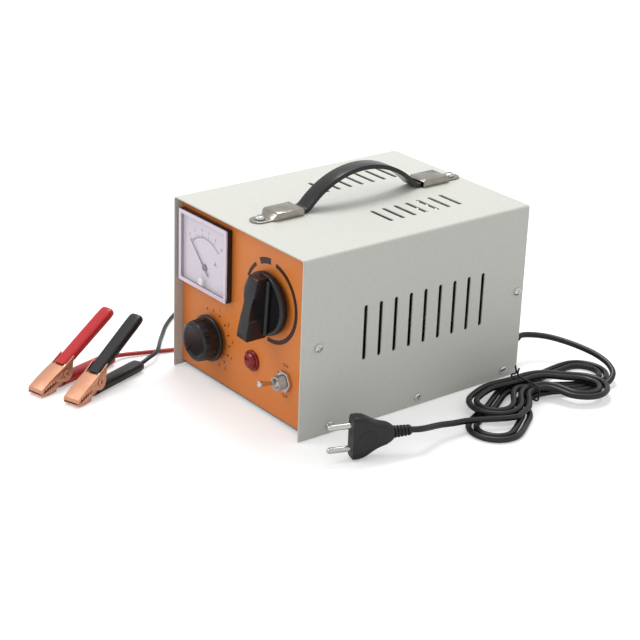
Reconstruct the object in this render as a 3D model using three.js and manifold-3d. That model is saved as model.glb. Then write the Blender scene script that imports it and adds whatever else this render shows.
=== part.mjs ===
// Car battery charger: a folded steel case with an orange control panel, strap handle,
// ammeter, two knobs, pilot lamp and toggle switch, a mains lead tied in a hank, and two
// battery leads that end in spring clips.
// Millimetres, +Z up, front panel facing -Y. The origin is on the floor, at the middle of
// the object without its cords.
import * as THREE from 'three';
import { mergeVertices } from 'three/addons/utils/BufferGeometryUtils.js';
import Module from 'manifold-3d';

const wasm = await Module();
wasm.setup();

// ---------------------------------------------------------------- driving sizes
const fit = 0.3;                       // gap left between pieces that touch

// sheet metal case
const caseWidth = 172;
const caseDepth = 230;
const caseTop = 150;
const coverSheet = 1;
const coverClearance = 0.6;            // cover's lower edge above the floor
const coverBend = 2.5;                 // outer bend radius of the cover
const chassisSheet = 1.2;
const panelSheet = 1.2;
const panelRecess = 8;                 // panel face behind the cover's front edge
const rearInset = 0.8;                 // rear wall in from the cover's rear edge
const sideFlangeTop = 17;              // chassis side flanges, above the floor
const flangeDepth = 15;                // side flanges of panel and rear wall
const screwHoleRadius = 1.9;

// side slots and top vents of the cover
const sideSlot = { count: 9, pitch: 15.2, width: 3, firstY: -53, low: 55, high: 101 };
const topVent = { count: 7, pitch: 12, width: 3, firstY: -3, near: 27, far: 54 };

// feet
const footHeight = 3.1;
const footRadius = 7;
const footStem = 2;
const footX = caseWidth / 2 - 20;
const footY = caseDepth / 2 - 27;

// strap handle
const handleX = -2;
const handleY = 7.5;
const strapWidth = 14;
const strapThick = 3.6;
const strapRise = 25.5;                // arch above its flat ends
const mouthReach = 62;                 // cap mouths from the handle's middle
const archFoot = 56;                   // where the arch leaves the flat ends
const archFillet = 9;
const strapTail = 18;                  // strap end inside each cap
const capLength = 45;
const capWidth = 19;
const capHeight = 6.2;
const capSheet = 1.2;
const tongueWidth = 15;
const capScrewIn = 8.5;                // cap screw in from the tongue's tip

// ammeter
const meter = { x: -48.4, z: 110.5, width: 66, height: 61, flange: 1.2, coverDepth: 4.6 };
const meterWall = 1.5;
const meterBodyRadius = 22;
const meterBodyDepth = 26;
const needleX = -49;
const needleZ = 99;
const needleLength = 27;
const needleRest = 45;                 // degrees left of upright at zero
const zeroScrewDrop = 11;              // zero screw below the needle's pivot
const zeroScrewRadius = 3.2;

// selector and trim controls
const selector = { x: 36.2, z: 98.5, body: 23, depth: 26, bushing: 4.7, shaft: 3, out: 26.5 };
const selectorSkirt = 25.5;
const selectorSkirtThick = 5;
const selectorBar = { width: 12, back: 24.5, pointer: 26.5, backOut: 19 };
const selectorRest = 4;                // degrees left of straight down
const trim = { x: -41, z: 41, body: 13, depth: 14, bushing: 3.4, shaft: 2.4, out: 19 };
const trimSkirt = 19.5;
const trimGrip = 17.5;
const trimRest = 40;                   // degrees left of straight down
const trimFlutes = 16;

// pilot lamp and toggle switch
const lamp = { x: 14.5, z: 41, collar: 8.5, collarThick: 2, dome: 7, domeRise: 4, stem: 5.6 };
const toggle = { x: 57, z: 39.5, bushing: 5.8, bushingOut: 9.5, nutFlats: 16, nutThick: 2.6 };
const toggleBody = { width: 18, height: 26, depth: 20, tagLength: 7, tagPitch: 8 };
const leverReach = 20;                 // ball end from the lever's pivot
const leverRest = 12;                  // degrees up at rest
const leverBall = 2.6;
const leverPivotBall = 3.4;

// transformer, rectifier and heat sink
const core = { x: -22, y: 6, width: 102, depth: 44, height: 85, limb: 34, side: 17 };
const coilWall = 14.5;
const sink = { x: 30, width: 46, length: 60, height: 30, base: 4, fins: 6, fin: 1.6 };
const sinkBehindCoil = 4;
const bridge = { side: 28, height: 10, tab: 8 };

// mains lead
const mainsRadius = 2.5;
const mainsGland = { x: 66, z: 22, flange: 7, neck: 5, out: 20 };
const plugHeading = -19.1;             // degrees from straight ahead, at the pins
const plugFace = [128.5, -98.1];
const plugZ = 18.7;
const plugPin = { spacing: 19, radius: 2.4, length: 19 };
const plugLength = 48.6;               // pin face to the end of the strain relief

// hank of the mains lead
const hank = {
  x: 118, y: 91, pitch: 6.2, rise: 5.8, lift: 2.2, liftCore: 14, liftReach: 45,
  stepsPerSide: 9, blend: 42, climb: 17, entry: 0.5, exit: 0.4,
};
const tieRadius = 0.8;

// battery leads
const leadRadius = 1.8;
const leadGland = { x: -50, z: 24, spacing: 12, halfWidth: 17, halfHeight: 8, out: 5 };
const coil = { outer: 24, pitch: 4.8, steps: 24 };

// battery clips: s runs back from the jaw tip, z up, t across
const clip = { pivotS: 28, pivotZ: 13, rivet: 2, sheet: 0.9, jaw: 15, handle: 9.8 };
const sleeve = { width: 12.6, depth: 8.4, inner: 5.8, corner: 3 };
const upperHandle = { s: 27.5, z: 17.2, slope: 29, length: 66 };
const lowerHandle = { s: 37, z: 5, length: 50 };
const redClip = { x: -97.9, y: -240, heading: 14 };
const blackClip = { x: -66.2, y: -225.6, heading: 19 };

// ---------------------------------------------------------------- planes derived from them
const halfWidth = caseWidth / 2;
const coverInner = halfWidth - coverSheet;
const wallOuter = coverInner - fit;
const frontEdge = -caseDepth / 2;
const rearEdge = caseDepth / 2;
const panelFace = frontEdge + panelRecess;
const panelBack = panelFace + panelSheet;
const floorBottom = footHeight + fit;
const floorTop = floorBottom + chassisSheet;
const panelBottom = floorTop + fit;
const ceiling = caseTop - coverSheet - fit;
const rearFace = rearEdge - rearInset;
const rearBack = rearFace - chassisSheet;
const sideScrewLow = floorTop + 2.9;
const sideScrewMid = caseTop / 2 + 1;
const frontScrewY = frontEdge + 16.6;
const rearScrewY = rearEdge - 6.6;
const lowScrewY = [frontEdge + 30.1, 5.2, rearEdge - 15.7];
const frontReach = -panelFace + Math.max(selector.out, trim.out);
const rearReach = rearFace + fit + mainsGland.out;
const centreShift = (frontReach - rearReach) / 2;

// ---------------------------------------------------------------- finishes
const finish = (color, roughness, metalness) =>
  new THREE.MeshStandardMaterial({ color, roughness, metalness });
const greyPaint = finish(0xb9b9b2, 0.55, 0.1);
const orangePaint = finish(0xe0843c, 0.5, 0.1);
const zincSteel = finish(0xa8abad, 0.4, 0.8);
const chrome = finish(0xd8dadc, 0.15, 1);
const copper = finish(0xc98a66, 0.3, 0.9);
const blackPlastic = finish(0x1c1c1e, 0.45, 0);
const blackRubber = finish(0x1a1a1a, 0.8, 0);
const redPlastic = finish(0xb5202a, 0.4, 0);
const clearPlastic = finish(0xcfc3d6, 0.1, 0);
const whiteCard = finish(0xeeeeee, 0.7, 0);
const laminations = finish(0x5a5a5c, 0.6, 0.6);
const winding = finish(0xa8602c, 0.5, 0.3);
const aluminium = finish(0xb8bbbe, 0.4, 0.9);

// ---------------------------------------------------------------- geometry helpers
const rad = THREE.MathUtils.degToRad;

/** Position-only copy with shared vertices and no collapsed triangles. */
function clean(geometry) {
  const bare = geometry.index ? geometry.toNonIndexed() : geometry.clone();
  for (const name of Object.keys(bare.attributes)) {
    if (name !== 'position') bare.deleteAttribute(name);
  }
  const merged = mergeVertices(bare, 1e-4);
  const index = merged.index.array;
  const kept = [];
  for (let i = 0; i < index.length; i += 3) {
    const [a, b, c] = [index[i], index[i + 1], index[i + 2]];
    if (a !== b && b !== c && c !== a) kept.push(a, b, c);
  }
  merged.setIndex(kept);
  return merged;
}

function toSolid(geometry) {
  const g = clean(geometry);
  return new wasm.Manifold(new wasm.Mesh({
    numProp: 3,
    vertProperties: Float32Array.from(g.attributes.position.array),
    triVerts: Uint32Array.from(g.index.array),
  }));
}

function toGeometry(solid) {
  const mesh = solid.getMesh();
  const g = new THREE.BufferGeometry();
  g.setAttribute('position', new THREE.BufferAttribute(Float32Array.from(mesh.vertProperties), 3));
  g.setIndex(Array.from(mesh.triVerts));
  return g;
}

/** One solid from several that overlap. */
function join(...pieces) {
  return toGeometry(pieces.map(toSolid).reduce((sum, next) => sum.add(next)));
}

/** The base with every tool taken out of it. */
function cut(base, ...tools) {
  return toGeometry(tools.map(toSolid).reduce((rest, tool) => rest.subtract(tool), toSolid(base)));
}

function overlap(a, b) {
  return toGeometry(toSolid(a).intersect(toSolid(b)));
}

function box([x0, x1], [y0, y1], [z0, z1]) {
  const g = new THREE.BoxGeometry(x1 - x0, y1 - y0, z1 - z0);
  return g.translate((x0 + x1) / 2, (y0 + y1) / 2, (z0 + z1) / 2);
}

/** Cylinder along x, y or z from one coordinate to another, about [a, b] in the other two. */
function rod(axis, from, to, [a, b], radius, sides = 12) {
  const g = new THREE.CylinderGeometry(radius, radius, to - from, sides);
  const middle = (from + to) / 2;
  if (axis === 'x') return g.rotateZ(-Math.PI / 2).translate(middle, a, b);
  if (axis === 'y') return g.translate(a, middle, b);
  return g.rotateX(Math.PI / 2).translate(a, b, middle);
}

/** Turned about -Y: profile points are [radius, distance in front of the origin]. */
function turned(profile, sides = 20) {
  const points = profile.map(([r, out]) => new THREE.Vector2(r, out));
  return new THREE.LatheGeometry(points, sides).rotateZ(Math.PI);
}

/** Turned about Z: profile points are [radius, height]. */
function turnedUp(profile, sides = 12) {
  const points = profile.map(([r, z]) => new THREE.Vector2(r, z));
  return new THREE.LatheGeometry(points, sides).rotateX(Math.PI / 2);
}

function outline(points) {
  return new THREE.Shape(points.map(([a, b]) => new THREE.Vector2(a, b)));
}

function roundedRect([a0, a1], [b0, b1], r) {
  const s = new THREE.Shape();
  s.absarc(a1 - r, b1 - r, r, 0, Math.PI / 2);
  s.absarc(a0 + r, b1 - r, r, Math.PI / 2, Math.PI);
  s.absarc(a0 + r, b0 + r, r, Math.PI, 1.5 * Math.PI);
  s.absarc(a1 - r, b0 + r, r, 1.5 * Math.PI, 2 * Math.PI);
  return s;
}

function extruded(shape, depth, curveSegments = 4) {
  return new THREE.ExtrudeGeometry(shape, { depth, curveSegments, bevelEnabled: false });
}

/** A shape drawn in (x, y), standing from z0 to z1. */
const upright = (shape, z0, z1, seg) => extruded(shape, z1 - z0, seg).translate(0, 0, z0);

/** A shape drawn in (y, z), running from x0 to x1. */
function acrossX(shape, x0, x1, seg) {
  const turn = new THREE.Matrix4().makeBasis(
    new THREE.Vector3(0, 1, 0), new THREE.Vector3(0, 0, 1), new THREE.Vector3(1, 0, 0));
  return extruded(shape, x1 - x0, seg).applyMatrix4(turn).translate(x0, 0, 0);
}

/** A shape drawn in (x, z), running from y0 to y1. */
function alongY(shape, y0, y1, seg) {
  return extruded(shape, y1 - y0, seg).rotateX(Math.PI / 2).translate(0, y1, 0);
}

/** Closed outline of a band of even thickness about a line of [a, b] points. */
function band(line, thickness) {
  const points = line.map(([a, b]) => new THREE.Vector2(a, b));
  const normals = points.map((p, i) => {
    const before = points[Math.max(i - 1, 0)];
    const after = points[Math.min(i + 1, points.length - 1)];
    const along = after.clone().sub(before).normalize();
    return new THREE.Vector2(-along.y, along.x);
  });
  const side = (k) => points.map((p, i) => p.clone().addScaledVector(normals[i], k * thickness / 2));
  return new THREE.Shape([...side(-1), ...side(1).reverse()]);
}

/** Closed round tube along a list of Vector3 points, with flat ends. */
function tube(points, radius, sides) {
  const count = points.length;
  const tangents = points.map((p, i) =>
    points[Math.min(i + 1, count - 1)].clone().sub(points[Math.max(i - 1, 0)]).normalize());
  const positions = [];
  let normal = new THREE.Vector3(0, 0, 1);
  points.forEach((p, i) => {
    normal.addScaledVector(tangents[i], -normal.dot(tangents[i])).normalize();
    const across = new THREE.Vector3().crossVectors(tangents[i], normal);
    for (let k = 0; k < sides; k += 1) {
      const turn = (2 * Math.PI * (k + 0.5)) / sides;
      positions.push(
        ...p.clone()
          .addScaledVector(normal, radius * Math.cos(turn))
          .addScaledVector(across, radius * Math.sin(turn))
          .toArray());
    }
  });
  const index = [];
  for (let i = 0; i < count - 1; i += 1) {
    for (let k = 0; k < sides; k += 1) {
      const a = i * sides + k;
      const b = i * sides + ((k + 1) % sides);
      index.push(a, b + sides, b, a, a + sides, b + sides);
    }
  }
  for (let k = 1; k < sides - 1; k += 1) {
    const last = (count - 1) * sides;
    index.push(0, k, k + 1, last, last + k + 1, last + k);
  }
  const g = new THREE.BufferGeometry();
  g.setAttribute('position', new THREE.Float32BufferAttribute(positions, 3));
  g.setIndex(index);
  return orientedOut(g);
}

/** Turns every face over if the closed surface is inside out. */
function orientedOut(g) {
  const p = g.attributes.position;
  const index = g.index.array;
  const corner = (i) => new THREE.Vector3().fromBufferAttribute(p, index[i]);
  let volume = 0;
  for (let i = 0; i < index.length; i += 3) {
    volume += corner(i).dot(corner(i + 1).cross(corner(i + 2)));
  }
  if (volume < 0) {
    for (let i = 0; i < index.length; i += 3) {
      [index[i + 1], index[i + 2]] = [index[i + 2], index[i + 1]];
    }
    g.setIndex(Array.from(index));
  }
  return g;
}

/** Free stretch of cord: an extruded circle along a smooth curve through chosen points. */
function freeCord(points, radius, sides, steps) {
  const curve = new THREE.CatmullRomCurve3(points.map((p) => new THREE.Vector3(...p)), false,
    'centripetal');
  const ring = [];
  for (let k = 0; k < sides; k += 1) {
    const turn = (2 * Math.PI * k) / sides;
    ring.push([radius * Math.cos(turn), radius * Math.sin(turn)]);
  }
  return new THREE.ExtrudeGeometry(outline(ring), { extrudePath: curve, steps });
}

function part(name, geometry, material, position = [0, 0, 0], turn = [0, 0, 0]) {
  const mesh = new THREE.Mesh(clean(geometry), material);
  mesh.name = name;
  mesh.position.set(...position);
  mesh.rotation.set(...turn);
  return mesh;
}

// ---------------------------------------------------------------- case
function makeCover() {
  const skin = new THREE.Shape();
  const inner = coverBend - coverSheet;
  skin.moveTo(-halfWidth, coverClearance);
  skin.lineTo(-coverInner, coverClearance);
  skin.lineTo(-coverInner, caseTop - coverBend);
  skin.absarc(-halfWidth + coverBend, caseTop - coverBend, inner, Math.PI, Math.PI / 2, true);
  skin.absarc(halfWidth - coverBend, caseTop - coverBend, inner, Math.PI / 2, 0, true);
  skin.lineTo(coverInner, coverClearance);
  skin.lineTo(halfWidth, coverClearance);
  skin.absarc(halfWidth - coverBend, caseTop - coverBend, coverBend, 0, Math.PI / 2);
  skin.absarc(-halfWidth + coverBend, caseTop - coverBend, coverBend, Math.PI / 2, Math.PI);
  const through = halfWidth + 1;
  const tools = [];
  for (let i = 0; i < sideSlot.count; i += 1) {
    const y = sideSlot.firstY + i * sideSlot.pitch;
    const half = sideSlot.width / 2;
    const slot = outline([
      [y, sideSlot.low], [y + half, sideSlot.low + half], [y + half, sideSlot.high - half],
      [y, sideSlot.high], [y - half, sideSlot.high - half], [y - half, sideSlot.low + half],
    ]);
    tools.push(acrossX(slot, -through, through));
  }
  for (let i = 0; i < topVent.count; i += 1) {
    const y = topVent.firstY + i * topVent.pitch;
    const half = topVent.width / 2;
    for (const sign of [-1, 1]) {
      const ends = [sign * topVent.near, sign * topVent.far].sort((a, b) => a - b);
      tools.push(box(ends, [y - half, y + half], [caseTop - 5, caseTop + 1]));
    }
  }
  for (const [y, z] of sideScrews()) {
    tools.push(rod('x', -through, through, [y, z], screwHoleRadius, 6));
  }
  let body = alongY(skin, frontEdge, rearEdge, 3);
  for (const y of handleScrewYs()) {
    body = join(body, rod('z', ceiling - 3, caseTop - coverSheet / 2, [handleX, y], 4.2, 6));
    tools.push(rod('z', ceiling - 4, caseTop + 1, [handleX, y], screwHoleRadius + fit, 8));
  }
  return part('cover', cut(body, ...tools), greyPaint);
}

function sideScrews() {
  return [
    [frontScrewY, sideScrewMid], [rearScrewY, sideScrewMid],
    ...lowScrewY.map((y) => [y, sideScrewLow]),
  ];
}

function handleScrewYs() {
  const reach = mouthReach + capLength - capScrewIn;
  return [handleY - reach, handleY + reach];
}

function makeChassis() {
  const flangeX = (sign) => [wallOuter - chassisSheet, wallOuter].map((x) => sign * x)
    .sort((a, b) => a - b);
  const pieces = [
    box([-wallOuter, wallOuter], [panelFace, rearFace], [floorBottom, floorTop]),
    box([-wallOuter, wallOuter], [rearBack, rearFace], [floorBottom, ceiling]),
  ];
  for (const sign of [-1, 1]) {
    const front = panelBack + fit;
    pieces.push(box(flangeX(sign), [front, rearFace], [floorBottom, sideFlangeTop]));
    pieces.push(box(flangeX(sign), [rearFace - flangeDepth, rearFace], [floorBottom, ceiling]));
  }
  const tools = [];
  for (const [x, y] of footPlaces()) {
    tools.push(rod('z', 0, floorTop + 1, [x, y], footStem + 2 * fit, 8));
  }
  for (const [y, z] of sideScrews()) {
    if (y !== frontScrewY) tools.push(rod('x', -halfWidth, halfWidth, [y, z], screwHoleRadius, 6));
  }
  const rear = [rearBack - 1, rearFace + 1];
  tools.push(rod('y', ...rear, [mainsGland.x, mainsGland.z], mainsGland.neck + fit, 16));
  const oblong = roundedRect(
    [leadGland.x - leadGland.spacing, leadGland.x + leadGland.spacing],
    [leadGland.z - 5, leadGland.z + 5], 4.9);
  tools.push(alongY(oblong, ...rear, 3));
  for (let i = 0; i < 9; i += 1) {
    const x = (i - 4) * 12;
    tools.push(box([x - 1.5, x + 1.5], rear, [80, 120]));
  }
  return part('chassis', cut(join(...pieces), ...tools, ...cornerWedges()), zincSteel);
}

/** Wedges that take the top corners off a piece that fits inside the cover's bends. */
function cornerWedges() {
  const chamfer = coverBend - coverSheet;
  return [-1, 1].map((sign) => alongY(outline([
    [sign * (wallOuter - chamfer), ceiling + 1], [sign * (wallOuter - chamfer), ceiling],
    [sign * wallOuter, ceiling - chamfer], [sign * (wallOuter + 1), ceiling - chamfer],
    [sign * (wallOuter + 1), ceiling + 1],
  ]), frontEdge, rearEdge));
}

function footPlaces() {
  return [[-footX, -footY], [footX, -footY], [-footX, footY], [footX, footY]];
}

function makeFoot(name, x, y) {
  const profile = [
    [0, 0], [footRadius - 0.6, 0], [footRadius, 0.6], [footRadius - 0.4, footHeight],
    [footStem, footHeight], [footStem, floorTop + fit], [footStem + 0.9, floorTop + fit],
    [footStem - 0.6, floorTop + 3], [0, floorTop + 3],
  ];
  return part(name, turnedUp(profile), blackRubber, [x, y, 0]);
}

function makeFrontPanel() {
  const inner = wallOuter - panelSheet;
  const back = panelBack + flangeDepth;
  const pieces = [
    box([-wallOuter, wallOuter], [panelFace, panelBack], [panelBottom, ceiling]),
    box([-inner + 1, inner - 1], [panelFace, panelBack + 12], [panelBottom, panelBottom + panelSheet]),
    box([-wallOuter, wallOuter], [panelFace, panelBack + 10], [ceiling - panelSheet, ceiling]),
  ];
  for (const sign of [-1, 1]) {
    const xs = [sign * inner, sign * wallOuter].sort((a, b) => a - b);
    pieces.push(box(xs, [panelFace, back], [sideFlangeTop + fit, ceiling]));
  }
  const hole = (x, z, r, sides = 16) =>
    rod('y', panelFace - 1, panelBack + 1, [x, z], r, sides);
  const tools = [
    hole(meter.x, meter.z, meterBodyRadius + fit, 24),
    hole(selector.x, selector.z, selector.bushing + fit),
    hole(trim.x, trim.z, trim.bushing + fit),
    hole(lamp.x, lamp.z, lamp.stem + fit),
    hole(toggle.x, toggle.z, toggle.bushing + fit),
    rod('x', -halfWidth, halfWidth, [frontScrewY, sideScrewMid], screwHoleRadius, 6),
  ];
  return part('front_panel', cut(join(...pieces), ...tools, ...cornerWedges()), orangePaint);
}

// ---------------------------------------------------------------- strap handle
const strapBase = caseTop + fit;

/** Arc points from one angle to another, in degrees, about a centre. */
function arcPoints([ca, cb], r, from, to, steps) {
  return Array.from({ length: steps + 1 }, (_, i) => {
    const turn = rad(from + ((to - from) * i) / steps);
    return [ca + r * Math.cos(turn), cb + r * Math.sin(turn)];
  });
}

/** Right half of the strap's middle line: [distance from the middle, height]. */
function strapHalfLine() {
  const level = strapBase + strapThick / 2;
  const radius = (archFoot ** 2 + strapRise ** 2) / (2 * strapRise);
  const lean = THREE.MathUtils.radToDeg(Math.asin(archFoot / radius));
  const trimmed = archFillet * Math.tan(rad(lean / 2));
  const cutBack = THREE.MathUtils.radToDeg(trimmed / radius);
  const crown = arcPoints([0, level + strapRise - radius], radius, 90, 90 - lean + cutBack, 10);
  const foot = arcPoints([archFoot + trimmed, level + archFillet], archFillet, 270 - lean, 270, 4);
  const end = [mouthReach + strapTail, level];
  return [...crown, ...foot, end];
}

function makeStrap() {
  const half = strapHalfLine();
  const mirrored = half.slice(1).reverse().map(([s, z]) => [-s, z]);
  const line = [...mirrored, ...half].map(([s, z]) => [handleY + s, z]);
  const side = handleX + strapWidth / 2;
  const strip = acrossX(band(line, strapThick), side - strapWidth, side);
  const headHalf = capWidth / 2 - capSheet - fit;
  const heads = [-1, 1].map((sign) => {
    const near = mouthReach + capSheet + 4;
    const ys = [handleY + sign * near, handleY + sign * (near + 7)].sort((a, b) => a - b);
    return box([handleX - headHalf, handleX + headHalf], ys, [strapBase + 0.6, strapBase + 3.6]);
  });
  return part('handle_strap', join(strip, ...heads), blackRubber);
}

/** Stamped cap drawn for the rear end, s measured outward from its mouth. */
function makeCap(name, sign) {
  const low = caseTop + fit;
  const top = low + capHeight;
  const hump = 27;
  const slopeEnd = 29.5;
  const skin = outline([
    [0, low], [capLength, low], [capLength, low + capSheet], [slopeEnd, low + capSheet],
    [hump, top - 1], [hump - 2, top], [1.5, top], [0, top - 1.5],
  ]);
  const plan = new THREE.Shape();
  const half = capWidth / 2;
  const tongue = tongueWidth / 2;
  plan.moveTo(-half, 0);
  plan.lineTo(half, 0);
  plan.lineTo(half, hump);
  plan.lineTo(tongue, slopeEnd);
  plan.lineTo(tongue, capLength - tongue);
  plan.absarc(0, capLength - tongue, tongue, 0, Math.PI);
  plan.lineTo(-tongue, slopeEnd);
  plan.lineTo(-half, hump);
  const hollow = box(
    [-half + capSheet, half - capSheet], [capSheet, hump - capSheet], [low - 1, top - capSheet]);
  const mouth = box(
    [-strapWidth / 2 - fit, strapWidth / 2 + fit], [-1, capSheet + 1],
    [low - 1, strapBase + strapThick + fit]);
  const screw = rod('z', low - 1, top, [0, capLength - capScrewIn], screwHoleRadius + fit, 12);
  const body = overlap(acrossX(skin, -half, half), upright(plan, low - 1, top + 1, 8));
  const geometry = cut(body, hollow, mouth, screw);
  if (sign < 0) geometry.rotateZ(Math.PI);
  return part(name, geometry, chrome, [handleX, handleY + sign * mouthReach, 0]);
}

function makeHandleScrew(name, y) {
  const seat = caseTop + fit + capSheet + fit;
  const profile = [
    [0, ceiling - 5], [screwHoleRadius - 0.1, ceiling - 5], [screwHoleRadius - 0.1, seat],
    [4, seat], [3.9, seat + 1.2], [2.6, seat + 2.3], [0, seat + 2.7],
  ];
  const cross = (turn) => box([-2.2, 2.2], [-0.4, 0.4], [seat + 1.4, seat + 4]).rotateZ(turn);
  const body = cut(turnedUp(profile), cross(rad(30)), cross(rad(120)));
  return part(name, body, chrome, [handleX, y, 0]);
}

// ---------------------------------------------------------------- ammeter
const meterFlangeOut = fit + meter.flange;
const meterCoverOut = meterFlangeOut + fit + meter.coverDepth;
const dialOut = meterFlangeOut + 2 * fit + 0.6;
const needleOut = dialOut + 0.9;
const needleThick = 0.5;
const boxOf = ([x0, x1], [out0, out1], [z0, z1]) =>
  box([x0, x1], [panelFace - out1, panelFace - out0], [z0, z1]);
const meterX = (inset) => [meter.x - meter.width / 2 + inset, meter.x + meter.width / 2 - inset];
const meterZ = (inset) => [meter.z - meter.height / 2 + inset, meter.z + meter.height / 2 - inset];

function makeMeterCase() {
  const flange = boxOf(meterX(0.4), [fit, meterFlangeOut], meterZ(0.4));
  const back = panelFace + meterBodyDepth;
  const barrel = rod('y', panelFace - meterFlangeOut, back, [meter.x, meter.z], meterBodyRadius, 24);
  const bore = rod('y', panelFace - meterFlangeOut - 1, back - meterWall, [meter.x, meter.z],
    meterBodyRadius - meterWall, 24);
  const studs = [-1, 1].map((side) =>
    rod('y', back - 0.5, back + 8, [meter.x + side * 12, meter.z - 6], 2, 10));
  return part('meter_case', cut(join(flange, barrel, ...studs), bore), blackPlastic);
}

function makeMeterMovement() {
  const front = panelFace + 1;
  const back = panelFace + meterBodyDepth - meterWall - fit;
  const radius = meterBodyRadius - meterWall - fit;
  const magnet = rod('y', front, back, [meter.x, meter.z], radius, 24);
  const coilBore = rod('y', front - 1, front + 15, [needleX, needleZ], 7, 16);
  return part('meter_movement', cut(magnet, coilBore), laminations);
}

function makeMeterDial() {
  const card = boxOf(meterX(meterWall + fit), [dialOut - 0.6, dialOut], meterZ(meterWall + fit));
  const hole = rod('y', panelFace - 10, panelFace, [needleX, needleZ], 3.2, 16);
  return part('meter_dial', cut(card, hole), whiteCard);
}

/** Needle, staff and moving coil, turning about the staff. */
function makeMeterNeedle() {
  const blade = outline([[-0.7, -8], [0.7, -8], [0.7, 0], [0.25, needleLength], [-0.25, needleLength],
    [-0.7, 0]]);
  const pointer = alongY(blade, -needleOut - needleThick, -needleOut);
  const hub = rod('y', -needleOut - needleThick, -needleOut + 0.2, [0, 0], 2.4, 16);
  const staff = rod('y', -needleOut, 2, [0, 0], 1, 10);
  const drum = rod('y', 1.5, 13, [0, 0], 6.4, 16);
  return part('meter_needle', join(pointer, hub, staff, drum), blackPlastic,
    [needleX, panelFace, needleZ], [0, rad(-needleRest), 0]);
}

function makeMeterCover() {
  const back = meterFlangeOut + fit;
  const bevel = 1.6;
  const outer = boxOf(meterX(0), [back, meterCoverOut], meterZ(0));
  const crown = new THREE.ExtrudeGeometry(roundedRect(meterX(bevel), meterZ(bevel), 1), {
    depth: 10, curveSegments: 3, bevelEnabled: true, bevelThickness: bevel, bevelSize: bevel,
    bevelSegments: 1,
  }).rotateX(Math.PI / 2).translate(0, panelFace - meterCoverOut + 10 + bevel, 0);
  const hollow = boxOf(meterX(meterWall), [back - 1, meterCoverOut - meterWall], meterZ(meterWall));
  const screwHole = rod('y', panelFace - meterCoverOut - 1, panelFace,
    [needleX, needleZ - zeroScrewDrop], zeroScrewRadius - 0.7, 16);
  const body = cut(overlap(outer, crown), hollow, screwHole);
  return part('meter_cover', body, clearPlastic);
}

function makeZeroScrew() {
  const head = meterCoverOut + fit;
  const stem = zeroScrewRadius - 1;
  const profile = [
    [0, needleOut + needleThick + fit], [stem, needleOut + needleThick + fit], [stem, head],
    [zeroScrewRadius, head], [zeroScrewRadius, head + 0.7], [zeroScrewRadius - 0.6, head + 1.1],
    [0, head + 1.1],
  ];
  const slot = box([-4, 4], [-head - 2, -head - 0.5], [-0.4, 0.4]).rotateY(rad(25));
  return part('meter_zero_screw', cut(turned(profile, 16), slot), whiteCard,
    [needleX, panelFace, needleZ - zeroScrewDrop]);
}

// ---------------------------------------------------------------- rotary controls
const nutThick = 2.4;
const skirtOut = fit + nutThick + 0.9;
const knobWell = 4.6;                  // depth of a knob's hollow over its nut

/** Switch or potentiometer body behind the panel, with its threaded bushing and nut. */
function makeControlBody(name, control, lugs) {
  const behind = -(panelSheet + fit);
  const bushingOut = skirtOut + 4;
  const profile = [
    [0, behind - control.depth], [control.body, behind - control.depth], [control.body, behind],
    [control.bushing, behind], [control.bushing, bushingOut], [0, bushingOut],
  ];
  const nut = rod('y', -fit - nutThick, -fit, [0, 0], control.bushing * 1.6, 6);
  const bore = rod('y', -bushingOut - 1, -behind + 8, [0, 0], control.shaft + fit, 12);
  const tags = Array.from({ length: lugs }, (_, i) => {
    const turn = (2 * Math.PI * i) / lugs;
    const r = control.body * 0.7;
    const at = -behind + control.depth;
    return box([r * Math.cos(turn) - 2, r * Math.cos(turn) + 2], [at - 0.5, at + 6],
      [r * Math.sin(turn) - 0.5, r * Math.sin(turn) + 0.5]);
  });
  return part(name, cut(join(turned(profile), nut, ...tags), bore), zincSteel,
    [control.x, panelFace, control.z]);
}

function makeShaft(name, control, turn) {
  const from = -(panelSheet + fit) - 8 + fit;
  const to = control.out - 4 - fit;
  const shaft = rod('y', -to, -from, [0, 0], control.shaft);
  const flat = box([-9, 9], [-to - 1, fit - skirtOut - knobWell], [control.shaft * 0.55, 9]);
  return part(name, cut(shaft, flat), zincSteel, [control.x, panelFace, control.z], turn);
}

/** Bore of a knob: wide over the nut, then D-shaped on the shaft. */
function knobBore(control) {
  const well = rod('y', -skirtOut - knobWell, 1, [0, 0], control.bushing * 1.6 + 0.8, 16);
  const grip = control.shaft + fit;
  const round = rod('y', -(control.out - 4), 0, [0, 0], grip);
  const flat = box([-9, 9], [-control.out, 0], [control.shaft * 0.55 + fit, 9]);
  return [well, cut(round, flat)];
}

function makeSelectorKnob() {
  const rim = skirtOut + selectorSkirtThick;
  const skirt = turned([
    [0, skirtOut], [selectorSkirt, skirtOut], [selectorSkirt, rim - 1.2],
    [selectorSkirt - 1.5, rim], [0, rim],
  ], 32);
  const bevel = 1.4;
  const { width, back, pointer, backOut } = selectorBar;
  const side = outline([
    [-rim + 1, -back + bevel], [-backOut + bevel, -back + bevel],
    [-selector.out + bevel, pointer - 4], [-selector.out + bevel, pointer - bevel],
    [-rim + 1, pointer - bevel],
  ]);
  const bar = new THREE.ExtrudeGeometry(side, {
    depth: width - 2 * bevel, bevelEnabled: true, bevelThickness: bevel, bevelSize: bevel,
    bevelSegments: 2,
  }).applyMatrix4(new THREE.Matrix4().makeBasis(
    new THREE.Vector3(0, 1, 0), new THREE.Vector3(0, 0, 1), new THREE.Vector3(1, 0, 0)))
    .translate(-width / 2 + bevel, 0, 0);
  const body = cut(join(skirt, bar), ...knobBore(selector));
  return part('selector_knob', body, blackPlastic, [selector.x, panelFace, selector.z],
    selectorTurn);
}

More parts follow.
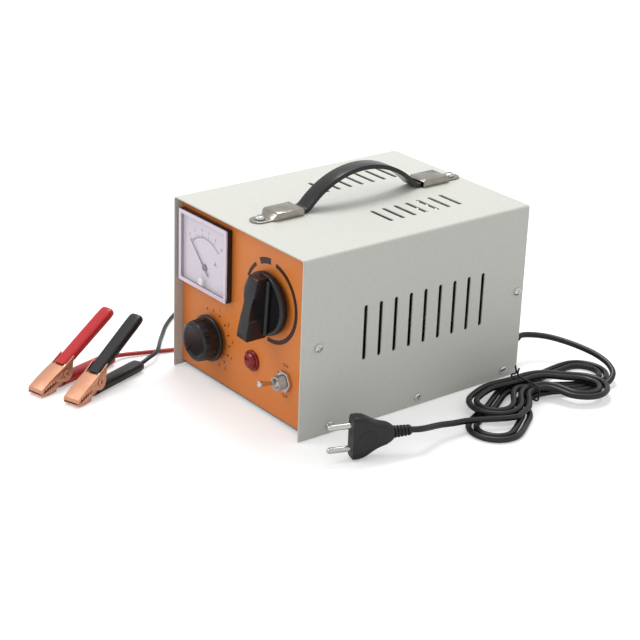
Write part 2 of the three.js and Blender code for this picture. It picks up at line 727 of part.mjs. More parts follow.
// the drawn pointer runs along +Z, and the turn about Y brings it to its rest place
const selectorTurn = [0, rad(180 + selectorRest), 0];
const trimTurn = [0, rad(180 + trimRest), 0];

function makeTrimKnob() {
  const rim = skirtOut + 2.5;
  const profile = [
    [0, skirtOut], [trimSkirt, skirtOut], [trimSkirt, rim - 0.6], [trimGrip, rim + 0.4],
    [trimGrip - 0.9, trim.out - 1.2], [trimGrip - 2.2, trim.out], [0, trim.out],
  ];
  const flutes = Array.from({ length: trimFlutes }, (_, i) => {
    const turn = (2 * Math.PI * (i + 0.5)) / trimFlutes;
    const r = trimGrip + 1.1;
    return rod('y', -trim.out - 1, -rim - 1.5, [r * Math.cos(turn), r * Math.sin(turn)], 2, 6);
  });
  const line = box([-0.6, 0.6], [-trim.out - 1, -trim.out + 0.6], [5, trimGrip]);
  const body = cut(turned(profile, 24), ...flutes, line, ...knobBore(trim));
  return part('trim_knob', body, blackPlastic, [trim.x, panelFace, trim.z], trimTurn);
}

// ---------------------------------------------------------------- lamp and toggle switch
function makeLampLens() {
  const front = fit + lamp.collarThick;
  const dome = arcPoints([0, front - 1], lamp.dome, 0, 90, 5)
    .map(([r, h]) => [r, front + ((h - front + 1) / lamp.dome) * lamp.domeRise]);
  dome[dome.length - 1][0] = 0;
  const profile = [
    [0, -6], [lamp.stem, -6], [lamp.stem, fit], [lamp.collar, fit], [lamp.collar, front - 0.6],
    [lamp.collar - 0.6, front], ...dome,
  ];
  const bulbWell = rod('y', -front, 7, [0, 0], lamp.stem - 1.5);
  return part('lamp_lens', cut(turned(profile, 18), bulbWell), redPlastic,
    [lamp.x, panelFace, lamp.z]);
}

/** Holder behind the lens, with the neon bulb standing in the lens's well. */
function makeLampBody() {
  const profile = [
    [0, -24], [5, -24], [7.2, -21], [7.2, -6 - fit], [3, -6 - fit], [3, -1], [2, 0.6], [0, 1],
  ];
  return part('lamp_body', turned(profile, 12), blackPlastic, [lamp.x, panelFace, lamp.z]);
}

const leverPivotOut = toggle.bushingOut - 3;

function makeToggleSwitch() {
  const behind = -(panelSheet + fit);
  const { width, height, depth, tagLength, tagPitch } = toggleBody;
  const back = -behind + depth;
  const housing = box([-width / 2, width / 2], [-behind, back], [-height / 2, height / 2]);
  const bushing = rod('y', -toggle.bushingOut, -behind + 1, [0, 0], toggle.bushing, 16);
  const socket = turned([
    [0, leverPivotOut - 5], [2, leverPivotOut - 5], [4, leverPivotOut - 3],
    [4, leverPivotOut + 0.6], [3.4, leverPivotOut + 1.4], [4.4, toggle.bushingOut + 0.1],
    [4.4, toggle.bushingOut + 1], [0, toggle.bushingOut + 1],
  ], 14);
  const tags = [-1, 0, 1].map((i) =>
    box([-2.5, 2.5], [back - 0.5, back + tagLength], [i * tagPitch - 0.4, i * tagPitch + 0.4]));
  return part('toggle_switch', cut(join(housing, bushing, ...tags), socket), zincSteel,
    [toggle.x, panelFace, toggle.z]);
}

function makeToggleNut() {
  const radius = toggle.nutFlats / 2 / Math.cos(Math.PI / 6);
  const nut = rod('y', -fit - toggle.nutThick, -fit, [0, 0], radius, 6);
  const bore = rod('y', -9, 1, [0, 0], toggle.bushing + fit, 16);
  return part('toggle_nut', cut(nut, bore), chrome, [toggle.x, panelFace, toggle.z]);
}

/** Bat lever about its own pivot, pointing out of the panel. */
function makeToggleLever() {
  const tip = leverReach;
  const profile = [
    [0, -leverPivotBall], [2.4, -2.4], [leverPivotBall, 0], [3, 1.4], [1.5, 2.6], [1.5, 4],
    [leverBall - 0.4, tip - 3],
    [leverBall, tip - 1.6], [leverBall - 0.6, tip - 0.4], [0, tip],
  ];
  return part('toggle_lever', turned(profile, 12), chrome,
    [toggle.x, panelFace - leverPivotOut, toggle.z], [rad(-leverRest), 0, 0]);
}

// ---------------------------------------------------------------- transformer and rectifier
const coreBottom = floorTop + fit;
const coreWindow = (core.width - core.limb - 2 * core.side) / 2;

function coreXs(from, to) {
  return [core.x + from, core.x + to];
}

function makeTransformerCore() {
  const half = core.width / 2;
  const ys = [core.y - core.depth / 2, core.y + core.depth / 2];
  const stack = box(coreXs(-half, half), ys, [coreBottom, coreBottom + core.height]);
  const windowZ = [coreBottom + core.side, coreBottom + core.height - core.side];
  const windows = [-1, 1].map((sign) => {
    const ends = [sign * core.limb / 2, sign * (core.limb / 2 + coreWindow)].sort((a, b) => a - b);
    return box(coreXs(...ends), [ys[0] - 1, ys[1] + 1], windowZ);
  });
  return part('transformer_core', cut(stack, ...windows), laminations);
}

function makeTransformerCoil() {
  const low = coreBottom + core.side + fit;
  const high = coreBottom + core.height - core.side - fit;
  const wide = core.limb / 2 + Math.min(coilWall, coreWindow - fit);
  const deep = core.depth / 2 + coilWall;
  const limbX = core.limb / 2 + fit;
  const limbY = core.depth / 2 + fit;
  const outer = upright(roundedRect(coreXs(-wide, wide), [core.y - deep, core.y + deep], 5),
    low, high);
  const bore = box(coreXs(-limbX, limbX), [core.y - limbY, core.y + limbY], [low - 1, high + 1]);
  return part('transformer_coil', cut(outer, bore), winding);
}

const sinkY = core.y + core.depth / 2 + coilWall + sinkBehindCoil + sink.length / 2;

function makeHeatSink() {
  const x = [sink.x - sink.width / 2, sink.x + sink.width / 2];
  const y = [sinkY - sink.length / 2, sinkY + sink.length / 2];
  const pieces = [box(x, y, [coreBottom, coreBottom + sink.base])];
  const clearOfBridge = bridge.side + 2;
  const finY = [y[0], y[1] - clearOfBridge];
  for (let i = 0; i < sink.fins; i += 1) {
    const at = x[0] + (i * (sink.width - sink.fin)) / (sink.fins - 1);
    pieces.push(box([at, at + sink.fin], finY, [coreBottom + 1, coreBottom + sink.height]));
  }
  return part('heat_sink', join(...pieces), aluminium);
}

function makeRectifier() {
  const y = sinkY + sink.length / 2 - bridge.side / 2 - 1;
  const half = bridge.side / 2;
  const low = coreBottom + sink.base + fit;
  const block = box([sink.x - half, sink.x + half], [y - half, y + half], [low, low + bridge.height]);
  const tabs = [[-1, -1], [-1, 1], [1, -1], [1, 1]].map(([i, j]) => {
    const cx = sink.x + i * 9;
    const cy = y + j * 9;
    return box([cx - 3, cx + 3], [cy - 0.4, cy + 0.4],
      [low + bridge.height - 1, low + bridge.height + bridge.tab]);
  });
  return part('rectifier', join(block, ...tabs), blackPlastic);
}

// ---------------------------------------------------------------- mains lead
const glandFace = rearFace + fit + mainsGland.out;

function makeMainsGland() {
  const { x, z, flange, neck, out } = mainsGland;
  const profile = [
    [0, -chassisSheet - 3 * fit - 3], [neck - 0.8, -chassisSheet - 3 * fit - 3],
    [neck + 1.2, -chassisSheet - 3 * fit - 1], [neck + 1.2, -chassisSheet - 2 * fit],
    [neck, -chassisSheet - 2 * fit], [neck, 0], [flange, 0], [flange, 3],
    [mainsRadius + 2.4, 4], [mainsRadius + 1.2, out], [0, out],
  ];
  const geometry = turned(profile, 16).rotateZ(Math.PI);
  return part('mains_gland', geometry, blackRubber, [x, rearFace + fit, z]);
}

/** Flat two-pin plug standing on its narrow edge, drawn with its pins towards -Y. */
const plugPlace = {
  position: [plugFace[0], plugFace[1], plugZ],
  turn: [0, 0, rad(plugHeading)],
};

function makePlugBody() {
  const half = 17.6;
  const side = new THREE.Shape();
  side.moveTo(0, -half);
  side.lineTo(5, -half);
  side.bezierCurveTo(16, -half, 16, -11.5, 24, -10);
  side.bezierCurveTo(30, -8.8, 32, -7, 34, -5.4);
  side.lineTo(plugLength, -mainsRadius - 1.6);
  side.lineTo(plugLength, mainsRadius + 1.6);
  side.lineTo(34, 5.4);
  side.bezierCurveTo(32, 7, 30, 8.8, 24, 10);
  side.bezierCurveTo(16, 11.5, 16, half, 5, half);
  side.lineTo(0, half);
  const plan = outline([
    [-6.8, 0], [6.8, 0], [6.8, 6], [6.2, 22], [4.6, 36], [4.1, plugLength],
    [-4.1, plugLength], [-4.6, 36], [-6.2, 22], [-6.8, 6],
  ]);
  const body = overlap(acrossX(side, -8, 8, 5), upright(plan, -half - 1, half + 1));
  const sockets = [-1, 1].map((k) =>
    rod('y', -1, 4, [0, k * plugPin.spacing / 2], plugPin.radius + fit, 12));
  return part('mains_plug', cut(body, ...sockets), blackPlastic, plugPlace.position,
    plugPlace.turn);
}

function makePlugPin(name, k) {
  const inside = 4 - fit;
  const profile = [
    [0, -inside], [plugPin.radius, -inside], [plugPin.radius, plugPin.length - 1.4],
    [plugPin.radius - 1, plugPin.length], [0, plugPin.length],
  ];
  const pin = turned(profile, 12).translate(0, 0, k * plugPin.spacing / 2);
  return part(name, pin, chrome, plugPlace.position, plugPlace.turn);
}

/**
 * Outer turn of each lobe of the hank: straight sides that flare from the waist to a round
 * end. end is 1 towards the front, and lean is the slope of the lobe towards +X. plus and
 * minus are its places at the waist, in pitches from the middle.
 */
const lobes = {
  lowerNear: { end: 1, length: 95, round: 21, lean: 30, plus: 2.5, minus: 1.5, layer: 0 },
  lowerFar: { end: -1, length: 88, round: 21, lean: 2, plus: 1.5, minus: 1.5, layer: 0 },
  upperNear: { end: 1, length: 64, round: 21, lean: 16, plus: 1.5, minus: 1.5, layer: 1 },
  upperFar: { end: -1, length: 70, round: 21, lean: 36, plus: 2.5, minus: 1.5, layer: 1 },
};
const flareShare = 0.55;               // of a side's steps, before its round end
const smooth = (t) => THREE.MathUtils.smoothstep(t, 0, 1);

/** Point of a lobe's outer turn: side runs from 1 at the waist on the +X side to -1 opposite. */
function lobePoint(lobe, side) {
  const travel = 1 - Math.abs(side);
  const slot = (side > 0 ? lobe.plus : lobe.minus) * hank.pitch;
  const centre = lobe.length - lobe.round;
  let p;
  if (travel < flareShare) {
    const flare = new THREE.CubicBezierCurve(
      new THREE.Vector2(0, slot), new THREE.Vector2(centre * 0.45, slot),
      new THREE.Vector2(centre * 0.5, lobe.round), new THREE.Vector2(centre, lobe.round));
    p = flare.getPoint(travel / flareShare);
  } else {
    const turn = ((travel - flareShare) / (1 - flareShare)) * (Math.PI / 2);
    p = new THREE.Vector2(centre + lobe.round * Math.sin(turn), lobe.round * Math.cos(turn));
  }
  const lean = rad(lobe.lean) * smooth(p.x / hank.blend);
  const across = side > 0 ? p.y : -p.y;
  return new THREE.Vector2(
    p.x * Math.cos(lean) - across * Math.sin(lean),
    across * Math.cos(lean) + p.x * Math.sin(lean));
}

/** Stretch of a turn that lies a number of pitches inside the outer one. */
function lobeTurn(lobe, inward, from = 1, to = -1) {
  const count = Math.round(Math.abs(to - from) * hank.stepsPerSide);
  return Array.from({ length: count + 1 }, (_, i) => {
    const side = from + ((to - from) * i) / count;
    const near = (k) => lobePoint(lobe, THREE.MathUtils.clamp(side + k, -1, 1));
    const ahead = near(-0.02).sub(near(0.02)).normalize();
    const [out, across] = lobePoint(lobe, side)
      .add(new THREE.Vector2(ahead.y, -ahead.x).multiplyScalar(inward * hank.pitch)).toArray();
    return { along: lobe.end * out, across, layer: lobe.layer };
  });
}

function hankPath() {
  const { lowerNear, lowerFar, upperNear, upperFar } = lobes;
  const entry = lobeTurn(lowerFar, -1, hank.entry, 1);
  const lower = [
    lobeTurn(lowerNear, 0), lobeTurn(lowerFar, 0).reverse(),
    lobeTurn(lowerNear, 1), lobeTurn(lowerFar, 1).reverse(),
  ];
  const upper = [
    lobeTurn(upperNear, 1), lobeTurn(upperFar, 1).reverse(),
    lobeTurn(upperNear, 0), lobeTurn(upperFar, 0).reverse(),
  ];
  const leaving = lobeTurn(upperNear, -1, 1, hank.exit);
  const runs = [entry, ...lower, ...upper, leaving];
  const climbRuns = [lower[3], upper[0]];
  return runs.flatMap((run, k) => run.slice(k === 0 ? 0 : 1).map(({ along, across, layer }) => {
    const onClimb = climbRuns.includes(run) && Math.abs(along) < hank.climb;
    const climbing = onClimb && across > 0;
    const level = climbing ? smooth((along / hank.climb + 1) / 2) : layer;
    const fromWaist = Math.hypot(along, across) - hank.liftCore;
    const lift = hank.lift * (1 - smooth(fromWaist / hank.liftReach));
    return new THREE.Vector3(
      hank.x + across, hank.y - along, mainsRadius + level * hank.rise + lift);
  }));
}

/** Least clear distance between stretches of one cord that aren't neighbours. */
function leastGap(points, radius, apart) {
  let least = Infinity;
  for (let i = 0; i < points.length - 1; i += 1) {
    for (let j = i + 1; j < points.length - 1; j += 1) {
      let travel = 0;
      for (let k = i; k < j && travel < apart; k += 1) travel += points[k].distanceTo(points[k + 1]);
      if (travel >= apart) {
        least = Math.min(least, segmentDistance(points[i], points[i + 1], points[j], points[j + 1]));
      }
    }
  }
  return least - 2 * radius;
}

function segmentDistance(a, b, c, d) {
  let least = Infinity;
  for (let i = 0; i <= 4; i += 1) {
    const p = a.clone().lerp(b, i / 4);
    const near = new THREE.Line3(c, d).closestPointToPoint(p, true, new THREE.Vector3());
    least = Math.min(least, p.distanceTo(near));
  }
  return least;
}

const hankPoints = hankPath();
const hankStart = hankPoints[0].toArray();
const hankEnd = hankPoints[hankPoints.length - 1].toArray();

/** Point a given distance beyond the end of a path, along its last step. */
function beyond(end, before, distance) {
  const out = end.clone().sub(before).normalize();
  return end.clone().addScaledVector(out, distance).toArray();
}

function makeMainsCord() {
  const { x, z } = mainsGland;
  const start = [x, glandFace + fit, z];
  const [h0, h1] = hankPoints;
  return part('mains_cord', freeCord([
    start, [x, glandFace + 6, z], [69, 149, 21.2], [77, 158.5, 20.2], [89, 166, 18.8],
    [104, 172, 17], [120, 175.5, 14.8], [135, 174.5, 12], [145.5, 169, 8.8], [149, 160.5, 5],
    beyond(h0, h1, 2 * mainsRadius + fit), beyond(h0, h1, fit),
  ], mainsRadius, 10, 12), blackRubber);
}

function makeMainsTail() {
  const back = (d) => [
    plugFace[0] + Math.sin(rad(-plugHeading)) * (plugLength + d),
    plugFace[1] + Math.cos(rad(plugHeading)) * (plugLength + d),
  ];
  const h1 = hankPoints[hankPoints.length - 1];
  const h0 = hankPoints[hankPoints.length - 2];
  return part('mains_tail', freeCord([
    beyond(h1, h0, fit), beyond(h1, h0, 2 * mainsRadius + fit),
    [143.9, 7.6, 9.4], [142.3, -5, 10.2], [142.4, -20, 12.8],
    [...back(8), plugZ - 0.6], [...back(fit), plugZ],
  ], mainsRadius, 10, 10), blackRubber);
}

/** Wire tie: once round the waist of the hank, with both ends standing up. */
function makeHankTie() {
  const wall = tieRadius + fit + 0.15;
  const left = hank.x - 1.5 * hank.pitch - mainsRadius - wall;
  const right = hank.x + 2.5 * hank.pitch + mainsRadius + wall + fit;
  const bottom = hank.lift - wall;
  const top = hank.lift + hank.rise + 2 * mainsRadius + wall;
  const r = 3;
  const y = hank.y;
  const gap = tieRadius + 0.3;
  const ring = [
    [left + 6 - gap - 1.5, top + 8], [left + 6 - gap, top + 4], [left + 6 - gap, top + 1.6],
    ...arcPoints([left + r, top - r], r, 110, 180, 3),
    ...arcPoints([left + r, bottom + r], r, 180, 270, 3),
    ...arcPoints([right - r, bottom + r], r, 270, 360, 3),
    ...arcPoints([right - r, top - r], r, 0, 90, 3),
    [left + 6 + gap + 2, top + 0.4], [left + 6 + gap, top + 1.8], [left + 6 + gap, top + 4],
    [left + 6 + gap + 1, top + 7],
  ];
  const points = ring.map(([x, z]) => new THREE.Vector3(x, y, z));
  return part('hank_tie', tube(points, tieRadius, 6), blackPlastic);
}

// ---------------------------------------------------------------- battery leads
const leadFace = rearFace + fit + leadGland.out;
const redExit = [leadGland.x + leadGland.spacing / 2, leadFace];
const blackExit = [leadGland.x - leadGland.spacing / 2, leadFace];

function makeLeadGland() {
  const { x, z, spacing, halfWidth: w, halfHeight: h, out } = leadGland;
  const plate = alongY(roundedRect([x - w, x + w], [z - h, z + h], h - 0.1),
    rearFace + fit, rearFace + fit + 2.5, 3);
  const neck = alongY(roundedRect([x - spacing + fit, x + spacing - fit], [z - 4.7, z + 4.7], 4.6),
    rearBack - 2 * fit - 1, rearFace + 1, 2);
  const lip = alongY(roundedRect([x - w + 2, x + w - 2], [z - 6, z + 6], 5.9),
    rearBack - fit - 2.5, rearBack - fit, 2);
  const noses = [-1, 1].map((k) =>
    rod('y', rearFace + 1, rearFace + fit + out, [x + k * spacing / 2, z], leadRadius + 1.4));
  return part('lead_gland', join(plate, neck, lip, ...noses), blackRubber);
}

/**
 * Coil lying on the floor in two layers: in by a steady spiral, up a layer in the half turn
 * where the spiral reverses, and out again. hand is 1 for anticlockwise from above.
 */
function coilPath([cx, cy], startAngle, turns, hand) {
  const points = [];
  const total = Math.round(turns * coil.steps);
  const halfTurn = coil.steps / 2;
  for (let i = 0; i <= total; i += 1) {
    const angle = rad(startAngle) + (hand * 2 * Math.PI * i) / coil.steps;
    const fromMiddle = Math.abs(i - total / 2);
    const outward = Math.max(fromMiddle - halfTurn / 2, 0) / coil.steps;
    const inmost = coil.outer - (coil.pitch * (total - halfTurn)) / 2 / coil.steps;
    const radius = inmost + coil.pitch * outward;
    const rise = smooth((i - total / 2) / halfTurn + 0.5);
    const z = leadRadius + coil.pitch * rise;
    points.push(new THREE.Vector3(cx + radius * Math.cos(angle), cy + radius * Math.sin(angle), z));
  }
  return points;
}

/** The path with one straight step, a cord diameter long, added at each end. */
function withStraightEnds(points, radius) {
  const n = points.length;
  const first = new THREE.Vector3(...beyond(points[0], points[1], 2 * radius));
  const last = new THREE.Vector3(...beyond(points[n - 1], points[n - 2], 2 * radius));
  return [first, ...points, last];
}

const redCoilCentre = [redExit[0] + coil.outer, 160];
const blackCoilCentre = [blackExit[0] - coil.outer, 160];
const redCoilPoints = withStraightEnds(coilPath(redCoilCentre, -90, 4.75, 1), leadRadius);
const blackCoilPoints = withStraightEnds(coilPath(blackCoilCentre, 180, 4.5, -1), leadRadius);

function leadFromGland(name, [x, y], coilPoints, material) {
  const n = coilPoints.length;
  const [end, before] = [coilPoints[n - 1], coilPoints[n - 2]];
  const z = leadGland.z;
  return part(name, freeCord([
    [x, y + fit, z], [x, y + 4, z], [x, y + 11, z - 4.5], [x, y + 18, z - 12],
    beyond(end, before, 4), beyond(end, before, fit),
  ], leadRadius, 8, 4), material);
}

/** Where a lead leaves the end of its clip's lower sleeve: distance d behind the sleeve. */
function behindSleeve(place, d) {
  const reach = lowerHandle.s + lowerHandle.length + d;
  return [
    place.x - Math.sin(rad(place.heading)) * reach,
    place.y + Math.cos(rad(place.heading)) * reach,
  ];
}

function makeRedLeadFront() {
  const [start, next] = redCoilPoints;
  return part('red_lead_front', freeCord([
    beyond(start, next, fit), beyond(start, next, 4), [-48, 131, leadRadius],
    [-66, 125.5, leadRadius], [-84, 124, leadRadius], [-97, 117, leadRadius],
    [-104, 102, leadRadius], [-106, 70, leadRadius], [-105, 20, leadRadius],
    [-105, -40, leadRadius], [-106, -80, leadRadius], [-110, -101, 2],
    [-116, -120, 2.4], [...behindSleeve(redClip, 12), 3.4], [...behindSleeve(redClip, 4), 4.8],
    [...behindSleeve(redClip, fit), lowerHandle.z],
  ], leadRadius, 8, 26), redPlastic);
}

function makeBlackLeadFront() {
  const [start, next] = blackCoilPoints;
  return part('black_lead_front', freeCord([
    beyond(start, next, fit), beyond(start, next, 4), [-107, 140, leadRadius],
    [-118, 127, leadRadius], [-140, 114, leadRadius], [-165, 96, leadRadius],
    [-183, 66, leadRadius], [-190, 20, leadRadius], [-187, -22, leadRadius],
    [-176, -52, leadRadius], [-158, -75, leadRadius], [-139, -92, 2.6], [-124, -104, 5.2],
    [-112, -113, 6.9], [-104, -120.5, 6.9], [...behindSleeve(blackClip, 12), 6.4],
    [...behindSleeve(blackClip, 4), 5.2], [...behindSleeve(blackClip, fit), lowerHandle.z],
  ], leadRadius, 8, 28), blackRubber);
}

// ---------------------------------------------------------------- battery clips
const teeth = 5;

/** Toothed edge of a jaw from the mouth line's back to the tip; side is 1 above, -1 below. */
function jawTeeth(side) {
  const [s0, s1] = [3, 17];
  const line = (s) => 3 + (s * (clip.pivotZ - 3)) / clip.pivotS;
  const points = [];
  for (let i = teeth; i >= 0; i -= 1) {
    const s = s0 + ((s1 - s0) * i) / teeth;
    points.push([s, line(s) + side * 0.2]);
    if (i > 0) points.push([s - (s1 - s0) / teeth / 2, line(s) + side * 1.9]);
  }
  points.push([0, line(0) + side * 0.2]);
  return points;
}

/** Points of the upper handle: distance d along it from its sleeve's front, n above its axis. */
function onHandle(d, n) {
  const a = rad(upperHandle.slope);
  return [
    upperHandle.s + d * Math.cos(a) - n * Math.sin(a),
    upperHandle.z + d * Math.sin(a) + n * Math.cos(a),
  ];
}

/** Channel stamping: two cheeks joined by a web along the back, open towards the other jaw. */
function channel(profile, hollow, width) {
  const half = width / 2;
  const inside = half - clip.sheet;
  return cut(acrossX(outline(profile), -half, half), acrossX(outline(hollow), -inside, inside));
}

/** Hole for the rivet through both cheeks. */
function rivetHole() {
  return rod('x', -clip.jaw, clip.jaw, [clip.pivotS, clip.pivotZ], clip.rivet + fit);
}

/** Wide jaw whose ears stand beside the sleeve, with a narrower handle behind its web. */
function makeUpperJaw() {
  const deep = sleeve.inner / 2 - fit;
  const w = clip.sheet;
  const end = upperHandle.length - 3;
  const ear = arcPoints([clip.pivotS, clip.pivotZ], 7.2, 15, -125, 7);
  const jaw = channel([
    [-0.4, 4.6], [0.8, 7], [9, 11.6], [18, 16], onHandle(-0.6, deep), onHandle(12.5, deep + 0.4),
    ...ear, ...jawTeeth(1),
  ], [
    [-3, 1], [1.6, 7 - w], [9.5, 11.5 - w], [18.4, 15.9 - w], onHandle(-0.4, deep - w),
    onHandle(-0.3, 8), onHandle(30, 8), [60, -8], [-3, -8],
  ], clip.jaw);
  const handle = channel([
    onHandle(-3, deep), onHandle(end, deep), onHandle(end, -deep), onHandle(5, -deep),
    onHandle(4, deep - w), onHandle(-3, deep - w),
  ], [
    onHandle(3, deep - w), onHandle(end + 1, deep - w), onHandle(end + 1, -deep - 4),
    onHandle(3, -deep - 4),
  ], clip.handle);
  return cut(join(jaw, handle), rivetHole());
}

/** Wide toothed nose on a narrower channel, whose ears stand inside those of the upper jaw. */
function makeLowerJaw() {
  const deep = sleeve.inner / 2 - fit;
  const [low, high] = [lowerHandle.z - deep, lowerHandle.z + deep];
  const w = clip.sheet;
  const end = lowerHandle.s + lowerHandle.length - 3;
  const ear = arcPoints([clip.pivotS, clip.pivotZ], 5, -10, 170, 7);
  const underside = [[20.5, low], [15, 0.8], [8, 0.4], [1, 1.2], [-0.4, 2]];
  const hollow = [
    [-3, 4], [1.4, 1.2 + w], [8, 0.5 + w], [15, 0.8 + w], [20.5, low + w], [end + 1, low + w],
    [end + 1, 30], [-3, 30],
  ];
  const rear = channel([
    ...jawTeeth(-1).reverse(), ...[...ear].reverse(), [lowerHandle.s - 3.6, high], [end, high],
    [end, low], ...underside,
  ].reverse(), hollow, clip.handle);
  const nose = channel([
    ...jawTeeth(-1).reverse(), [16.2, 1.2], ...underside.slice(1),
  ].reverse(), hollow, clip.jaw);
  return cut(join(rear, nose), rivetHole());
}

/** Vinyl sleeve over a handle, closed at its far end and drawn along +Y. Its mouth slants: on
 *  its lower side it starts a distance later than on its upper side, or sooner if negative. */
function makeSleeve(length, slant) {
  const half = sleeve.width / 2;
  const deep = sleeve.depth / 2;
  const start = Math.min(0, slant);
  const outer = alongY(roundedRect([-half, half], [-deep, deep], sleeve.corner), start, length, 3);
  const wide = clip.handle / 2 + fit;
  const bore = box([-wide, wide], [start - 1, length - 2], [-sleeve.inner / 2, sleeve.inner / 2]);
  const mouth = [[start - 2, deep + 0.5], [0, deep + 0.5], [slant, -deep - 0.5],
    [start - 2, -deep - 0.5]];
  return cut(outer, bore, acrossX(outline(mouth.reverse()), -half - 1, half + 1));
}

function makeRivet() {
  const half = clip.jaw / 2 + fit;
  const shank = rod('x', -half - 0.2, half + 0.2, [clip.pivotS, clip.pivotZ], clip.rivet);
  const heads = [-1, 1].map((side) => {
    const xs = [side * half, side * (half + 1.1)].sort((a, b) => a - b);
    return rod('x', ...xs, [clip.pivotS, clip.pivotZ], clip.rivet + 1.3);
  });
  return join(shank, ...heads);
}

/** Torsion spring about the rivet, with a leg along each handle. */
function springPoints() {
  const r = clip.rivet + 1.25;
  const turns = 3.35;
  const wide = clip.handle / 2 - clip.sheet - 1.1;
  const steps = Math.round(turns * 8);
  const points = [];
  const at = (angle, x, radius = r) => new THREE.Vector3(
    x, clip.pivotS + radius * Math.cos(angle), clip.pivotZ + radius * Math.sin(angle));
  const first = rad(-90);
  for (let i = 0; i <= steps; i += 1) {
    points.push(at(first - (2 * Math.PI * i) / 8, -wide + (2 * wide * i) / steps));
  }
  const start = points[0];
  points.unshift(new THREE.Vector3(start.x, start.y + 5, start.z + 0.2));
  const last = points[points.length - 1];
  const before = points[points.length - 2];
  points.push(new THREE.Vector3(...beyond(last, before, 2)));
  return points;
}

function makeClip(prefix, place, sleeveColour) {
  const group = new THREE.Group();
  group.position.set(place.x, place.y, 0);
  group.rotation.z = rad(place.heading);
  const name = (piece) => `${prefix}_clip_${piece}`;
  const slope = rad(upperHandle.slope);
  group.add(
    part(name('lower_jaw'), makeLowerJaw(), copper),
    part(name('upper_jaw'), makeUpperJaw(), copper),
    part(name('lower_sleeve'), makeSleeve(lowerHandle.length, -15), sleeveColour,
      [0, lowerHandle.s, lowerHandle.z]),
    part(name('upper_sleeve'), makeSleeve(upperHandle.length, 9.5), sleeveColour,
      [0, upperHandle.s, upperHandle.z], [slope, 0, 0]),
    part(name('rivet'), makeRivet(), zincSteel),
    part(name('spring'), tube(springPoints(), 0.55, 5), zincSteel),
  );
  return group;
}

// ---------------------------------------------------------------- assembly
const charger = new THREE.Group();
charger.position.y = centreShift;

charger.add(makeChassis(), makeFrontPanel(), makeCover());
footPlaces().forEach(([x, y]) => {
  const name = `foot_${y < 0 ? 'front' : 'rear'}_${x < 0 ? 'left' : 'right'}`;
  charger.add(makeFoot(name, x, y));
});
const [frontScrew, rearScrew] = handleScrewYs();
charger.add(
  makeStrap(), makeCap('handle_cap_front', -1), makeCap('handle_cap_rear', 1),
  makeHandleScrew('handle_screw_front', frontScrew),
  makeHandleScrew('handle_screw_rear', rearScrew),
  makeMeterCase(), makeMeterMovement(), makeMeterDial(), makeMeterNeedle(), makeMeterCover(),
  makeZeroScrew(),
  makeControlBody('selector_switch', selector, 6), makeShaft('selector_shaft', selector, selectorTurn),
  makeSelectorKnob(),
  makeControlBody('trim_switch', trim, 3), makeShaft('trim_shaft', trim, trimTurn), makeTrimKnob(),
  makeLampBody(), makeLampLens(), makeToggleSwitch(), makeToggleNut(), makeToggleLever(),
  makeTransformerCore(), makeTransformerCoil(), makeHeatSink(), makeRectifier(),
  makeMainsGland(), makeMainsCord(), part('mains_hank', tube(hankPoints, mainsRadius, 6), blackRubber),
  makeHankTie(), makeMainsTail(), makePlugBody(),
  makePlugPin('plug_pin_upper', 1), makePlugPin('plug_pin_lower', -1),
  makeLeadGland(),
  leadFromGland('red_lead', redExit, redCoilPoints, redPlastic),
  part('red_coil', tube(redCoilPoints, leadRadius, 6), redPlastic), makeRedLeadFront(),
  leadFromGland('black_lead', blackExit, blackCoilPoints, blackRubber),
  part('black_coil', tube(blackCoilPoints, leadRadius, 6), blackRubber), makeBlackLeadFront(),
  makeClip('red', redClip, redPlastic), makeClip('black', blackClip, blackPlastic),
);

console.log('least gap in the hank:', leastGap(hankPoints, mainsRadius, 30).toFixed(2));
console.log('least gap in the red coil:', leastGap(redCoilPoints, leadRadius, 30).toFixed(2));
console.log('least gap in the black coil:', leastGap(blackCoilPoints, leadRadius, 30).toFixed(2));
console.log('least gap in a clip spring:', leastGap(springPoints(), 0.55, 8).toFixed(2));

export default charger;
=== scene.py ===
"""Car battery charger: the looks of every piece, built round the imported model.

Pieces are drawn in millimetres about the middle of the case, and are brought to metres and
to the model's own place as they are added.
"""
import math

import bmesh
import bpy
from mathutils import Matrix, Vector


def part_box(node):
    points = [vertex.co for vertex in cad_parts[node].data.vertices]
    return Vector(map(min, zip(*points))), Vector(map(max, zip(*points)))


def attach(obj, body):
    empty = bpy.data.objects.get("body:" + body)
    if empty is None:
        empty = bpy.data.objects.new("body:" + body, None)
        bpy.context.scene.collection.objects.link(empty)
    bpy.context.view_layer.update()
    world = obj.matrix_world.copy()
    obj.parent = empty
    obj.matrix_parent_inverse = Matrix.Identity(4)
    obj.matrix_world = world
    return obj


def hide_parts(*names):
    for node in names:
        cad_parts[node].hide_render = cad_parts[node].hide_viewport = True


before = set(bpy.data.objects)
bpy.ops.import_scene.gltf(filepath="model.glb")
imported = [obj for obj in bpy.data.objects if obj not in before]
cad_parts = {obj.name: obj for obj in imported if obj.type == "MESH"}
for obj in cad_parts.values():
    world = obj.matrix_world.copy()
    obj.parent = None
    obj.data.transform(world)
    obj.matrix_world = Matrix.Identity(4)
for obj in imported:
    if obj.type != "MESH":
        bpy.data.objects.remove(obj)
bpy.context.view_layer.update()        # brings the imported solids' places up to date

# ---------------------------------------------------------------- camera
# A long lens from the right front and above, turned a little on its axis. Its place, its
# angles and its focal length were worked out from the case's edges in the photograph.
case_low, case_high = [[1000 * c for c in corner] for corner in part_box("cover")]
case_width = case_high[0] - case_low[0]
case_depth = case_high[1] - case_low[1]
case_top = case_high[2]
case_middle = (case_low[1] + case_high[1]) / 2     # along Y, in the model's frame
to_model = Matrix.Scale(0.001, 4) @ Matrix.Translation((0, case_middle, 0))

